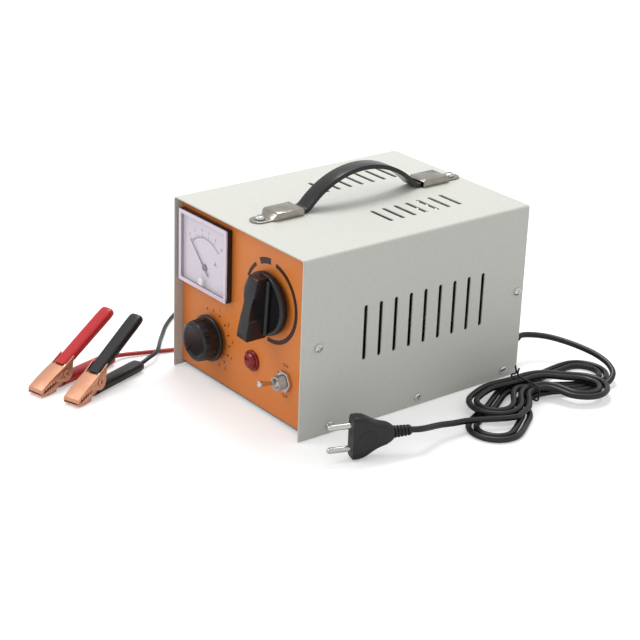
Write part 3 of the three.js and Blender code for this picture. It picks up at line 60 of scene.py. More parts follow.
camera_azimuth = math.radians(51.297)
camera_elevation = math.radians(23.118)
camera_roll = math.radians(-2.1404)
camera_distance = 1474.15
camera_target = Vector((-5.54, -24.61, 49.04))
backward = Vector((
    math.sin(camera_azimuth) * math.cos(camera_elevation),
    -math.cos(camera_azimuth) * math.cos(camera_elevation),
    math.sin(camera_elevation)))
level_right = (-backward).cross(Vector((0, 0, 1))).normalized()
level_down = (-backward).cross(level_right)
camera_right = math.cos(camera_roll) * level_right + math.sin(camera_roll) * level_down
camera_down = math.cos(camera_roll) * level_down - math.sin(camera_roll) * level_right
camera = bpy.data.objects.new("camera", bpy.data.cameras.new("camera"))
camera.data.lens = 100.8
camera.data.sensor_width = 36
camera.data.clip_end = 20
facing = Matrix((camera_right, -camera_down, backward)).transposed().to_4x4()
station = to_model @ (camera_target + camera_distance * backward)
camera.matrix_world = Matrix.Translation(station) @ facing
bpy.context.scene.collection.objects.link(camera)
bpy.context.scene.camera = camera

# ---------------------------------------------------------------- studio
# A paper floor in an evenly pale room, with two soft boxes at a plain level: a small one
# overhead, and a weaker one in front that lights the panel.


def linear(hex_colour):
    """An sRGB colour such as "#C4C4BD" as linear red, green, blue and alpha."""
    channels = [int(hex_colour[i:i + 2], 16) / 255 for i in (1, 3, 5)]
    return (*[c / 12.92 if c <= 0.04045 else ((c + 0.055) / 1.055) ** 2.4 for c in channels], 1)


def add_node(tree, kind, inputs=None, links=None, **settings):
    """Adds a node with its settings, its inputs' values, and links from other outputs."""
    node = tree.nodes.new(kind)
    for key, value in settings.items():
        setattr(node, key, value)
    for key, value in (inputs or {}).items():
        node.inputs[key].default_value = value
    for key, output in (links or {}).items():
        tree.links.new(output, node.inputs[key])
    return node


bpy.context.scene.view_settings.view_transform = "Standard"
world = bpy.data.worlds.new("studio")
bpy.context.scene.world = world
world.use_nodes = True
world.node_tree.nodes.clear()
room_light = add_node(world.node_tree, "ShaderNodeBackground", {"Strength": 1.0})
add_node(world.node_tree, "ShaderNodeOutputWorld", links={"Surface": room_light.outputs[0]})

floor_shape = bmesh.new()
bmesh.ops.create_grid(floor_shape, x_segments=1, y_segments=1, size=4)
floor_mesh = bpy.data.meshes.new("floor")
floor_shape.to_mesh(floor_mesh)
floor_shape.free()
floor = bpy.data.objects.new("floor", floor_mesh)
bpy.context.scene.collection.objects.link(floor)

# matt white background paper: only the camera sees it lifted to white, so it throws no more
# light on the object, keeps the object's shadow, and is mirrored in metal as it is lit
paper = bpy.data.materials.new("white_paper_floor")
paper.use_nodes = True
paper.node_tree.nodes.clear()
paper_rays = add_node(paper.node_tree, "ShaderNodeLightPath")
paper_matt = add_node(paper.node_tree, "ShaderNodeBsdfDiffuse", {"Color": linear("#E2E2E2")})
paper_glow = add_node(paper.node_tree, "ShaderNodeEmission", {"Strength": 0.34})
paper_lit = add_node(paper.node_tree, "ShaderNodeAddShader", links={
    0: paper_matt.outputs[0], 1: paper_glow.outputs[0]})
paper_seen = add_node(paper.node_tree, "ShaderNodeMixShader", links={
    0: paper_rays.outputs["Is Camera Ray"], 1: paper_matt.outputs[0], 2: paper_lit.outputs[0]})
add_node(paper.node_tree, "ShaderNodeOutputMaterial", links={"Surface": paper_seen.outputs[0]})
floor.data.materials.append(paper)

for lamp_name, lamp_place, lamp_size, lamp_power in [
        ("overhead_softbox", (-0.45, 0.35, 1.35), 0.6, 10.5),
        ("front_softbox", (-0.55, -1.0, 1.15), 0.7, 5.0)]:
    lamp = bpy.data.objects.new(lamp_name, bpy.data.lights.new(lamp_name, "AREA"))
    lamp.data.size = lamp_size
    lamp.data.energy = lamp_power
    away = Vector(lamp_place) - Vector((0, 0, 0.08))     # from half the case's height
    aim = away.to_track_quat("Z", "Y").to_matrix().to_4x4()
    lamp.matrix_world = Matrix.Translation(lamp_place) @ aim
    bpy.context.scene.collection.objects.link(lamp)

# ---------------------------------------------------------------- chassis
# The floor plate, rear wall and side flanges are one pressing of sheet steel, zinc plated
# after it was pierced. The cover, the panel and everything inside are fixed to it.


def mottled_finish(name, colour, shade, grain_mm, roughness, metallic=0.0, relief_mm=0.02):
    """A surface whose colour, roughness and height drift together over a grain of one size."""
    material = bpy.data.materials.new(name)
    material.use_nodes = True
    tree = material.node_tree
    tree.nodes.clear()
    place = add_node(tree, "ShaderNodeTexCoord")
    grain = add_node(tree, "ShaderNodeTexNoise", {"Scale": 1000 / grain_mm, "Detail": 4},
                     {"Vector": place.outputs["Object"]})
    tone = add_node(tree, "ShaderNodeMix", {6: linear(colour), 7: linear(shade)},
                    {0: grain.outputs["Fac"]}, data_type="RGBA")
    polish = add_node(tree, "ShaderNodeMapRange", {3: roughness[0], 4: roughness[1]},
                      {0: grain.outputs["Fac"]})
    bump = add_node(tree, "ShaderNodeBump", {"Strength": 0.6, "Distance": relief_mm / 1000},
                    {"Height": grain.outputs["Fac"]})
    surface = add_node(tree, "ShaderNodeBsdfPrincipled", {"Metallic": metallic}, {
        "Base Color": tone.outputs[2], "Roughness": polish.outputs[0],
        "Normal": bump.outputs[0]})
    add_node(tree, "ShaderNodeOutputMaterial", links={"Surface": surface.outputs[0]})
    return material


def dress(finish, *nodes):
    """Gives carried-over solids their finish."""
    for node in nodes:
        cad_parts[node].material_slots[0].material = finish


# electroplated zinc on rolled sheet: a pale satin metal with soft cloudy patches
zinc_plate = mottled_finish("zinc_plated_steel", "#C3C5C4", "#9DA1A2", 6, metallic=1.0,
                            roughness=(0.28, 0.45), relief_mm=0.01)
dress(zinc_plate, "chassis")

# ---------------------------------------------------------------- transformer
# A stack of stamped steel laminations, with the mains and low-voltage windings on its middle
# limb. The whole is dipped in varnish and bolted to the chassis's floor plate.
lamination_band_mm = 2.0              # four sheets of 0.5 mm, as coarse as it needs to show
winding_band_mm = 2.8                 # two turns of 1.4 mm wire, likewise


def banded_finish(name, colour, shade, band_mm, direction, metallic, roughness):
    """Even bands across one axis, raised in their middles, as stacked sheets or wound wire."""
    material = mottled_finish(name, colour, shade, 4, roughness, metallic)
    tree = material.node_tree
    place = add_node(tree, "ShaderNodeTexCoord")
    bands_per_metre = 1000 / band_mm
    wave_scale = bands_per_metre * math.tau / 20        # a scale of 1 is 20 radians a metre
    bands = add_node(tree, "ShaderNodeTexWave",
                     {"Scale": wave_scale, "Distortion": 0.4, "Detail": 1},
                     {"Vector": place.outputs["Object"]}, bands_direction=direction)
    ridge = add_node(tree, "ShaderNodeBump", {"Strength": 1, "Distance": band_mm / 8000},
                     {"Height": bands.outputs["Fac"]})
    surface = next(n for n in tree.nodes if n.type == "BSDF_PRINCIPLED")
    tree.links.new(ridge.outputs[0], surface.inputs["Normal"])
    return material


# silicon steel sheets under dipped varnish: dark grey, with their stamped edges as fine lines
laminations = banded_finish("varnished_laminations", "#6E6D6B", "#4A4744", lamination_band_mm,
                            "Y", 0.6, (0.45, 0.6))
# enamelled copper wire wound in close turns: amber ridges with a soft gloss
windings = banded_finish("varnished_copper_wire", "#B5672C", "#7C4018", winding_band_mm,
                         "Z", 0.7, (0.28, 0.4))
dress(laminations, "transformer_core")
dress(windings, "transformer_coil")

# ---------------------------------------------------------------- rectifier and heat sink
# An extruded aluminium sink screwed to the floor plate carries the bridge rectifier, which
# is a moulded block of black epoxy.

# bare extruded aluminium: a dull grey metal, faintly clouded
raw_aluminium = mottled_finish("extruded_aluminium", "#8E8F91", "#77797B", 3, metallic=1.0,
                               roughness=(0.55, 0.65), relief_mm=0.01)
# filled epoxy, moulded: nearly black and matt, with a fine grain
epoxy = mottled_finish("moulded_epoxy", "#26262A", "#1A1A1C", 0.8, roughness=(0.45, 0.6))
dress(raw_aluminium, "heat_sink")
dress(epoxy, "rectifier")

# ---------------------------------------------------------------- front panel
# A folded sheet steel panel in orange stove enamel, set back between the cover's front
# edges. The legend is screen printed on it in dark brown ink.
panel_setback = 8.0
panel_face = panel_setback - case_depth / 2     # where the enamel is, along Y
print_thickness = 0.06
facing_front = Matrix.Rotation(math.radians(90), 4, "X")    # drawn upright, shown towards -Y


def thickened(shape, thickness):
    """Flat faces made solid, with their thickness above them along Z."""
    grown = bmesh.ops.extrude_face_region(shape, geom=shape.faces[:])["geom"]
    raised = [v for v in grown if isinstance(v, bmesh.types.BMVert)]
    bmesh.ops.translate(shape, vec=(0, 0, thickness), verts=raised)
    bmesh.ops.recalc_face_normals(shape, faces=shape.faces)
    return shape


def plate(points, thickness):
    """A flat outline of [x, y] points, made solid."""
    shape = bmesh.new()
    shape.faces.new([shape.verts.new((x, y, 0)) for x, y in points])
    return thickened(shape, thickness)


def arc(centre, radius, start, end, steps):
    """Points along an arc, with its angles in degrees."""
    turns = [math.radians(start + (end - start) * i / steps) for i in range(steps + 1)]
    return [(centre[0] + radius * math.cos(t), centre[1] + radius * math.sin(t)) for t in turns]


def joined(*shapes):
    """Several shapes as one."""
    whole = shapes[0]
    for other in shapes[1:]:
        spare = bpy.data.meshes.new("spare")
        other.to_mesh(spare)
        other.free()
        whole.from_mesh(spare)
        bpy.data.meshes.remove(spare)
    return whole


def moved(shape, place=(0, 0, 0), turn=None):
    """The shape, turned about its own origin and then put in its place."""
    matrix = Matrix.Translation(place) @ (turn or Matrix.Identity(4))
    bmesh.ops.transform(shape, matrix=matrix, verts=shape.verts)
    return shape


def add_piece(name, shape, finish, body="case", instead_of=(), sharp=35):
    """Adds a shape drawn in millimetres as a piece of the model."""
    bmesh.ops.transform(shape, matrix=to_model, verts=shape.verts)
    mesh = bpy.data.meshes.new(name)
    shape.to_mesh(mesh)
    shape.free()
    mesh.shade_smooth()
    mesh.set_sharp_from_angle(angle=math.radians(sharp))
    mesh.materials.append(finish)
    piece = bpy.data.objects.new(name, mesh)
    bpy.context.scene.collection.objects.link(piece)
    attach(piece, body)
    if instead_of:
        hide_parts(*instead_of)
    return piece


def printed_arc(centre, inner, outer, start, end):
    """A printed band round a control, from one clock angle in degrees to another."""
    steps = max(2, round(abs(end - start) / 4))
    points = arc(centre, outer, 90 - start, 90 - end, steps)
    points += arc(centre, inner, 90 - end, 90 - start, steps)
    return plate(points, print_thickness)


def shape_of(curve):
    """The mesh of a curve or of words, as a shape; the curve itself is used up."""
    source = bpy.data.objects.new("source", curve)
    mesh = bpy.data.meshes.new_from_object(source)
    shape = bmesh.new()
    shape.from_mesh(mesh)
    bpy.data.objects.remove(source)
    bpy.data.curves.remove(curve)
    bpy.data.meshes.remove(mesh)
    return shape


def printed_words(words, size, place):
    """Plain numbers or words, centred on a place and made a thin solid."""
    curve = bpy.data.curves.new("legend", "FONT")
    curve.body = words
    curve.size = size
    curve.align_x = "CENTER"
    curve.align_y = "CENTER"
    curve.resolution_u = 3
    return moved(thickened(shape_of(curve), print_thickness), (*place, 0))


# stove enamel, sprayed and baked: a satin orange with a fine orange peel
orange_enamel = mottled_finish("orange_stove_enamel", "#DF8339", "#D47730", 2.2,
                               roughness=(0.34, 0.46), relief_mm=0.03)
dress(orange_enamel, "front_panel")
selector_centre = (36.2, 98.5)
trim_centre = (-41.0, 41.0)
toggle_centre = (57.0, 39.5)
word_drop = 13.0                      # from the toggle's centre to ON and to OFF

# screen ink, printed and baked: a flat dark brown, a little duller than the enamel
brown_ink = mottled_finish("brown_screen_ink", "#3A1A12", "#2E140E", 1, roughness=(0.4, 0.55))
marks = [
    printed_arc(selector_centre, 30.4, 33.9, 9, 186),
    printed_arc(selector_centre, 30.6, 33.6, 292, 322),
    printed_arc(selector_centre, 30.2, 35.4, -27, -2)]
for i in range(9):                    # ticks round the fine adjustment
    tick = 22 * i - 20
    marks.append(printed_arc(trim_centre, 22.0, 24.6, tick - 1.4, tick + 1.4))
for i in range(5):                    # and its figures
    angle = math.radians(20 + 30 * i)
    spot = (trim_centre[0] + 28 * math.sin(angle), trim_centre[1] + 28 * math.cos(angle))
    marks.append(printed_words(str(i + 1), 4.6, spot))
marks.append(printed_words("ON", 4.2, (toggle_centre[0], toggle_centre[1] + word_drop)))
marks.append(printed_words("OFF", 4.2, (toggle_centre[0], toggle_centre[1] - word_drop)))
legend = moved(joined(*marks), (0, panel_face, 0), facing_front)
add_piece("panel_legend", legend, brown_ink)

# ---------------------------------------------------------------- ammeter
# A moving-coil meter: a black case behind the panel, a white card dial with a printed scale,
# and a clear moulded window, with a pale border and black sides, that stands on the panel. The
# black of the sides is partly painted shade, along the meter's top and right side.
meter_centre = (-48.4, 110.5)
meter_width = 66.0
meter_height = 61.0
meter_cover_back = 1.8                # out from the panel's face
meter_cover_out = 6.4
meter_wall = 1.5
border_width = 4.6
band_back, band_out = 1.0, 5.2        # the black sides end just behind the window's face
dial_out = 2.7
needle_pivot = (-49.0, 99.0)
scale_radius = 25.0
scale_sweep = 90                      # degrees, half of them each side of straight up


def soften(shape, width, angle=30, segments=2):
    """Rounds every edge that turns by more than an angle in degrees."""
    edges = [e for e in shape.edges
             if len(e.link_faces) == 2 and e.calc_face_angle() > math.radians(angle)]
    bmesh.ops.bevel(shape, geom=edges, offset=width, offset_type="OFFSET", segments=segments,
                    profile=0.5, affect="EDGES", clamp_overlap=True, material=-1)
    return shape


def block(size, place=(0, 0, 0)):
    """A box of a size, standing on its place at the middle of its underside."""
    shape = bmesh.new()
    bmesh.ops.create_cube(shape, size=1)
    bmesh.ops.scale(shape, vec=size, verts=shape.verts)
    return moved(shape, (place[0], place[1], place[2] + size[2] / 2))


def carve(shape, *tools):
    """Cuts the tools out of the shape."""
    solids = []
    for solid in (shape, joined(*tools)):
        mesh = bpy.data.meshes.new("carving")
        solid.to_mesh(mesh)
        solid.free()
        solids.append(bpy.data.objects.new("carving", mesh))
        bpy.context.scene.collection.objects.link(solids[-1])
    cutting = solids[0].modifiers.new("cut", "BOOLEAN")
    cutting.operation = "DIFFERENCE"
    cutting.solver = "EXACT"
    cutting.use_self = True
    cutting.object = solids[1]
    cut_solid = solids[0].evaluated_get(bpy.context.evaluated_depsgraph_get())
    result = bmesh.new()
    result.from_mesh(cut_solid.to_mesh())
    for solid in solids:
        mesh = solid.data
        bpy.data.objects.remove(solid)
        bpy.data.meshes.remove(mesh)
    return result


# phenolic, moulded in a polished die: black with a low, even gloss
black_moulding = mottled_finish("black_moulded_phenolic", "#1B1B1E", "#121214", 0.7,
                                roughness=(0.26, 0.38), relief_mm=0.008)
# cast magnet alloy, left as it came from the mould: dull grey, with small darker patches
magnet_iron = mottled_finish("cast_magnet", "#6A6A6C", "#4C4C4E", 1.5, metallic=0.8,
                             roughness=(0.4, 0.6))
# smooth coated card: matt and white, with hardly any grain
white_card = mottled_finish("white_dial_card", "#E8E7EB", "#DEDDE4", 2, roughness=(0.6, 0.7),
                            relief_mm=0.005)
# black lacquer on drawn aluminium: a thin soft gloss
black_lacquer = mottled_finish("black_lacquered_needle", "#2E2E30", "#3A3A3C", 1,
                               roughness=(0.3, 0.4))
dress(black_moulding, "meter_case")
dress(magnet_iron, "meter_movement")
dress(white_card, "meter_dial")
dress(black_lacquer, "meter_needle")

scale_start = -scale_sweep / 2
scale_marks = [printed_arc(needle_pivot, scale_radius - 0.6, scale_radius,
                           scale_start, -scale_start)]
for i in range(21):                   # one for each half ampere, longer for every two
    angle = scale_start + scale_sweep * i / 20
    reach = scale_radius + (3.2 if i % 4 == 0 else 1.8)
    scale_marks.append(printed_arc(needle_pivot, scale_radius, reach, angle - 0.5, angle + 0.5))
for i in range(6):
    angle = math.radians(scale_start + scale_sweep * i / 5)
    spot = (needle_pivot[0] + 31.2 * math.sin(angle), needle_pivot[1] + 31.2 * math.cos(angle))
    scale_marks.append(printed_words(str(2 * i), 3.6, spot))
scale_marks.append(printed_words("A", 6, (needle_pivot[0] + 14, needle_pivot[1] + 7)))
dial_print = moved(joined(*scale_marks), (0, panel_face - dial_out, 0), facing_front)
add_piece("dial_print", dial_print, brown_ink)

# clear polystyrene, moulded in a polished die: a thin glossy pane with a lilac cast
clear_styrene = bpy.data.materials.new("clear_moulded_styrene")
clear_styrene.use_nodes = True
clear_surface = clear_styrene.node_tree.nodes["Principled BSDF"]
clear_surface.inputs["Base Color"].default_value = linear("#EFE2F2")
clear_surface.inputs["Roughness"].default_value = 0.05
clear_surface.inputs["IOR"].default_value = 1.59
clear_surface.inputs["Alpha"].default_value = 0.16

# the same polystyrene at the window's border, where its full depth shows: a pale lilac
border_styrene = mottled_finish("lilac_moulded_edge", "#E3D6E2", "#D6C6D8", 5,
                                roughness=(0.12, 0.2), relief_mm=0.005)
edge_round = 0.4
meter_shell = block((meter_width, meter_height, meter_cover_out - meter_cover_back))
soften(meter_shell, edge_round, segments=1)
open_back = [f for f in meter_shell.faces if all(v.co.z < edge_round + 0.05 for v in f.verts)]
bmesh.ops.delete(meter_shell, geom=open_back, context="FACES")
moved(meter_shell, (*meter_centre, meter_cover_back))
bmesh.ops.solidify(meter_shell, geom=meter_shell.faces[:], thickness=meter_wall)
bmesh.ops.recalc_face_normals(meter_shell, faces=meter_shell.faces)
moved(meter_shell, (0, panel_face, 0), facing_front)
add_piece("meter_window", meter_shell, clear_styrene,
          instead_of=["meter_cover"])

rim = bmesh.new()
bmesh.ops.create_grid(rim, x_segments=1, y_segments=1, size=0.5)
bmesh.ops.scale(rim, vec=(meter_width + 0.1, meter_height + 0.1, 1), verts=rim.verts)
border = bmesh.ops.inset_region(rim, faces=rim.faces[:], thickness=border_width, depth=0,
                                use_boundary=True)["faces"]
bmesh.ops.delete(rim, geom=[f for f in rim.faces if f not in border], context="FACES")
bmesh.ops.solidify(rim, geom=rim.faces[:], thickness=0.25)
bmesh.ops.recalc_face_normals(rim, faces=rim.faces)
moved(rim, (*meter_centre, meter_cover_out + 0.1))
moved(rim, (0, panel_face, 0), facing_front)
add_piece("meter_bezel", rim, border_styrene)

# black moulded sides, whose black also paints the shade along the meter's top and right side
black_sides_and_shade = block((meter_width + 0.4, meter_height + 0.4, band_out - band_back),
                  (*meter_centre, band_back))
soften(black_sides_and_shade, 0.3)
black_sides_and_shade = carve(black_sides_and_shade, block((meter_width + 0.1, meter_height + 0.1, 9),
                                   (*meter_centre, -1)))
moved(black_sides_and_shade, (0, panel_face, 0), facing_front)
add_piece("meter_black_sides_and_shade", black_sides_and_shade, black_moulding)

# ---------------------------------------------------------------- meter zero screw
# A white moulded adjuster through the window, turned with a screwdriver to bring the
# needle to zero. It snaps into a hole under the needle's staff.
zero_screw_radius = 3.2
zero_screw_drop = 11                  # below the needle's staff


def spun(profile, steps):
    """Turns a profile of [radius, height] points round the Z axis."""
    shape = bmesh.new()
    ring = [shape.verts.new((r, 0, z)) for r, z in profile]
    edges = [shape.edges.new(pair) for pair in zip(ring, ring[1:])]
    bmesh.ops.spin(shape, geom=ring + edges, cent=(0, 0, 0), axis=(0, 0, 1),
                   angle=math.tau, steps=steps, use_merge=True)
    bmesh.ops.remove_doubles(shape, verts=shape.verts, dist=0.001)
    bmesh.ops.recalc_face_normals(shape, faces=shape.faces)
    return shape


# white polystyrene, moulded: clean and softly glossy
white_moulding = mottled_finish("white_moulded_plastic", "#EEEDEA", "#E4E3DF", 1.5,
                                roughness=(0.3, 0.4), relief_mm=0.008)
screw_out = meter_cover_out + 0.3
adjuster = spun([(0, 4.9), (2.2, 4.9), (2.2, screw_out), (zero_screw_radius, screw_out),
                 (zero_screw_radius, screw_out + 0.6), (2.9, screw_out + 1.0),
                 (2.2, screw_out + 1.1), (0, screw_out + 1.1)], 32)
adjuster = carve(adjuster, moved(block((8, 0.8, 3), (0, 0, screw_out + 0.5)),
                                 turn=Matrix.Rotation(math.radians(-25), 4, "Z")))
moved(adjuster, (needle_pivot[0], needle_pivot[1] - zero_screw_drop, 0))
moved(adjuster, (0, panel_face, 0), facing_front)
add_piece("zero_adjuster", adjuster, white_moulding, "zero_screw",
          ["meter_zero_screw"])

# ---------------------------------------------------------------- charge-rate selector
# A rotary switch behind the panel, and on its shaft a black phenolic knob: a round skirt
# with a tall bar across it, one end of which points at the printed scale.

# nickel plate on turned steel: a warm pale metal, softly clouded
control_steel = mottled_finish("nickel_plated_steel", "#C9C8C4", "#A6A5A1", 2.5, metallic=1.0,
                               roughness=(0.25, 0.4), relief_mm=0.01)
dress(control_steel, "selector_switch", "selector_shaft", "trim_switch", "trim_shaft")
selector_rest = 4                     # degrees left of straight down
skirt_back = 3.6                      # out from the panel's face
selector_skirt = 25.5
bar_width = 12.0
scoop_radius = 46.0                   # of the hollows in the bar's two sides
scoop_depth = 1.3
on_edge = Matrix(((0, 0, 1, 0), (1, 0, 0, 0), (0, 1, 0, 0), (0, 0, 0, 1)))   # x, y become y, z

# phenolic, pressed hot and then buffed: deep black, glossier than the meter's case
knob_black = mottled_finish("black_buffed_phenolic", "#18181B", "#101012", 0.9,
                            roughness=(0.24, 0.34), relief_mm=0.008)
skirt = spun([(0, skirt_back), (selector_skirt, skirt_back), (selector_skirt, 6.6),
              (25.2, 7.6), (24.4, 8.3), (22.8, 8.7), (21.6, 8.2), (17, 7.9), (0, 7.9)], 72)
bar_side = [(-24.5, 7), (-24.5, 18.2), (-23.4, 19.2), (21, 26.5), (25.2, 26.5), (26.5, 25.2),
            (26.5, 7)]
bar = moved(plate(bar_side, bar_width), (-bar_width / 2, 0, 0), on_edge)
soften(bar, 1.5, 25, 4)
scoops = []
for side in (-1, 1):
    scoop = bmesh.new()
    bmesh.ops.create_cone(scoop, cap_ends=True, segments=64, radius1=scoop_radius,
                          radius2=scoop_radius, depth=26)
    scoop_across = scoop_radius + bar_width / 2 - scoop_depth
    scoops.append(moved(scoop, (side * scoop_across, 0, 22)))
bar = carve(bar, *scoops)
foot = block((bar_width + 7, 46.5, 4.4), (0, 0.4, 7.2))      # flared foot of the bar
soften(foot, 2.1, 25, 5)
selector_knob = joined(skirt, bar, foot)
moved(selector_knob, turn=Matrix.Rotation(math.radians(180 - selector_rest), 4, "Z"))
moved(selector_knob, (*selector_centre, 0))
moved(selector_knob, (0, panel_face, 0), facing_front)
add_piece("selector_bar_knob", selector_knob, knob_black, "selector",
          ["selector_knob"])

# ---------------------------------------------------------------- fine adjustment knob
# A fluted knob of the same phenolic, with a low skirt and a line moulded in its top. It is
# pressed on the shaft of the control behind the panel.
trim_rest = 40                        # degrees left of straight down
trim_grip = 17.5
trim_out = 19.0
flute_count = 16
trim_profile = [(0, skirt_back), (19.5, skirt_back), (19.5, 5.4), (19.0, 6.0),
                (trim_grip, 6.4), (trim_grip - 0.7, trim_out - 1.6),
                (trim_grip - 1.2, trim_out - 0.6), (trim_grip - 2.2, trim_out),
                (13, trim_out), (12, trim_out - 0.7), (0, trim_out - 0.7)]
flutes = []
for i in range(flute_count):
    angle = math.tau * (i + 0.5) / flute_count
    flute = bmesh.new()
    bmesh.ops.create_cone(flute, cap_ends=True, segments=20, radius1=2, radius2=2.2, depth=14)
    flutes.append(moved(flute, ((trim_grip + 0.9) * math.cos(angle),
                                (trim_grip + 0.9) * math.sin(angle), 14.6)))
pointer_line = block((1.2, 13, 4), (0, 10.5, trim_out - 1.3))
trim_knob = carve(spun(trim_profile, 96), *flutes, pointer_line)
moved(trim_knob, turn=Matrix.Rotation(math.radians(180 - trim_rest), 4, "Z"))
moved(trim_knob, (*trim_centre, 0))
moved(trim_knob, (0, panel_face, 0), facing_front)
add_piece("fluted_trim_knob", trim_knob, knob_black, "trim", ["trim_knob"])

# ---------------------------------------------------------------- mains lamp
# A neon lamp in a black holder behind the panel, seen through a ruby lens whose dome is
# moulded in facets. The lens clips into its hole from the front.
lamp_centre = (14.5, 41.0)

# transparent acrylic, dyed and moulded: a deep red that lets some light in
ruby_plastic = mottled_finish("ruby_moulded_acrylic", "#9C1410", "#7E0E0C", 3,
                              roughness=(0.08, 0.16), relief_mm=0.005)
ruby_surface = next(n for n in ruby_plastic.node_tree.nodes if n.type == "BSDF_PRINCIPLED")
ruby_surface.inputs["Transmission Weight"].default_value = 0.25
dress(epoxy, "lamp_body")

collar = spun([(0, -6), (5.6, -6), (5.6, 0.3), (8.5, 0.3), (8.5, 1.7), (8.2, 2.1), (7.7, 2.3),
               (0, 2.3)], 40)
dome = spun([(0, 2.0), (7, 2.0), (6.8, 3.2), (5.6, 4.8), (3.4, 5.9), (0, 6.3)], 12)
jewel = moved(joined(collar, dome), (*lamp_centre, 0))
moved(jewel, (0, panel_face, 0), facing_front)
add_piece("ruby_jewel", jewel, ruby_plastic, instead_of=["lamp_lens"], sharp=14)

# ---------------------------------------------------------------- toggle switch
# A miniature mains toggle: a threaded bushing through the panel, held by a hexagon nut,
# and a bat-shaped lever on a ball in the bushing's mouth. Nut and lever are chromed.
bushing_radius = 5.8
bushing_out = 9.5
thread_pitch = 1.0
nut_flats = 16.0
lever_pivot_out = 6.5
lever_rest = 12                       # degrees up from straight out
bushing_bore = 4.3

# chromium plate on polished brass: a bright, slightly cold mirror
polished_chrome = mottled_finish("chromium_plate", "#DADBDD", "#C6C7C9", 8, metallic=1.0,
                                 roughness=(0.07, 0.14), relief_mm=0.004)
dress(control_steel, "toggle_switch")

thread = [(5.0, 2.6), (bushing_radius - 0.1, 2.6)]
for i in range(int((bushing_out - 3.4) / thread_pitch)):
    out = 2.8 + i * thread_pitch
    thread += [(bushing_radius + 0.02, out), (bushing_radius + 0.3, out + 0.45),
               (bushing_radius + 0.3, out + 0.6)]
thread += [(bushing_radius - 0.2, bushing_out - 0.3), (5.2, bushing_out + 0.1),
           (bushing_bore, bushing_out + 0.1), (bushing_bore, bushing_out - 0.6), (5.0, 2.6)]
toggle_place = Matrix.Translation((toggle_centre[0], 0, toggle_centre[1]))
threaded = moved(spun(thread, 40), (0, panel_face, 0), facing_front)
moved(threaded, turn=toggle_place)
add_piece("toggle_thread", threaded, control_steel)

nut_corner = nut_flats / 2 / math.cos(math.pi / 6)
nut = plate(arc((0, 0), nut_corner, 0, 300, 5), 2.6)
soften(nut, 0.45, 30, 3)
nut_bore = bmesh.new()
bmesh.ops.create_cone(nut_bore, cap_ends=True, segments=40, radius1=6.15, radius2=6.15, depth=9)
nut = carve(nut, nut_bore)
moved(nut, (0, 0, 0.3))
moved(nut, (0, panel_face, 0), facing_front)
moved(nut, turn=toggle_place)
add_piece("toggle_ring_nut", nut, polished_chrome, instead_of=["toggle_nut"])

bat = spun([(0, -3.4), (1.8, -2.9), (2.9, -1.8), (3.4, 0), (3.1, 1.3), (2.2, 2.2), (1.6, 2.9),
            (1.5, 4), (1.75, 9), (2.15, 14.5), (2.45, 17), (2.6, 18.3), (2.3, 19.4),
            (1.4, 19.9), (0, 20)], 32)
moved(bat, turn=Matrix.Rotation(math.radians(-lever_rest), 4, "X") @ facing_front)
moved(bat, (toggle_centre[0], panel_face - lever_pivot_out, toggle_centre[1]))
add_piece("bat_lever", bat, polished_chrome, "toggle", ["toggle_lever"])

# ---------------------------------------------------------------- mains strain relief
# A PVC sleeve moulded on the flex, snapped into a hole in the rear wall, with ribs outside
# that get smaller towards the flex and keep it from kinking.
gland_x, gland_z = 66.0, 22.0
facing_rear = Matrix.Rotation(math.radians(-90), 4, "X")    # drawn upright, shown towards +Y
relief_face = case_depth / 2 - 0.5    # the rear wall's outer face, where the relief seats

# plasticised PVC, extruded or moulded: black, with a soft sheen and hardly any grain
soft_pvc = mottled_finish("black_pvc_jacket", "#161618", "#0F0F11", 1.2,
                          roughness=(0.3, 0.42), relief_mm=0.01)
relief = [(0, -5.1), (4.2, -5.1), (6.2, -3.1), (6.2, -2.1), (5, -2.1), (5, 0), (7, 0), (7, 2.4),
          (6.6, 3)]
for i in range(6):
    rib_radius = 5.1 - 0.23 * i
    out = 3.6 + 2.7 * i
    relief += [(rib_radius - 0.8, out - 0.3), (rib_radius, out), (rib_radius, out + 1.3),
               (rib_radius - 0.8, out + 1.6)]
relief += [(3.7, 19.9), (3.2, 20), (0, 20)]
gland = moved(spun(relief, 40), (gland_x, relief_face, gland_z), facing_rear)
add_piece("ribbed_strain_relief", gland, soft_pvc, instead_of=["mains_gland"])

# ---------------------------------------------------------------- mains lead
# Round PVC flex, 5 mm thick, from the strain relief to the plug. Most of it is folded into a
# hank: two layers of loops, with two or three turns at each end, that meet at a waist.
mains_radius = 2.5
hank_x, hank_y = 118.0, 91.0
hank_pitch = 6.2                      # between the turns
hank_rise = 5.8                       # of the upper layer
hank_lift = 2.2                       # of the waist, over the tie under it
steps_per_side = 9
flare_share = 0.55                    # of a side's steps, before its round end
# each lobe: end of the hank, length, radius of its round end, lean in degrees, its outer turn's
# places at the waist in turns on one side and the other, layer
lower_near = (1, 95, 21, 30, 2.5, 1.5, 0)
lower_far = (-1, 88, 21, 2, 1.5, 1.5, 0)
upper_near = (1, 64, 21, 16, 1.5, 1.5, 1)
upper_far = (-1, 70, 21, 36, 2.5, 1.5, 1)


def eased(t):
    """A smooth step from 0 to 1."""
    t = min(max(t, 0), 1)
    return t * t * (3 - 2 * t)


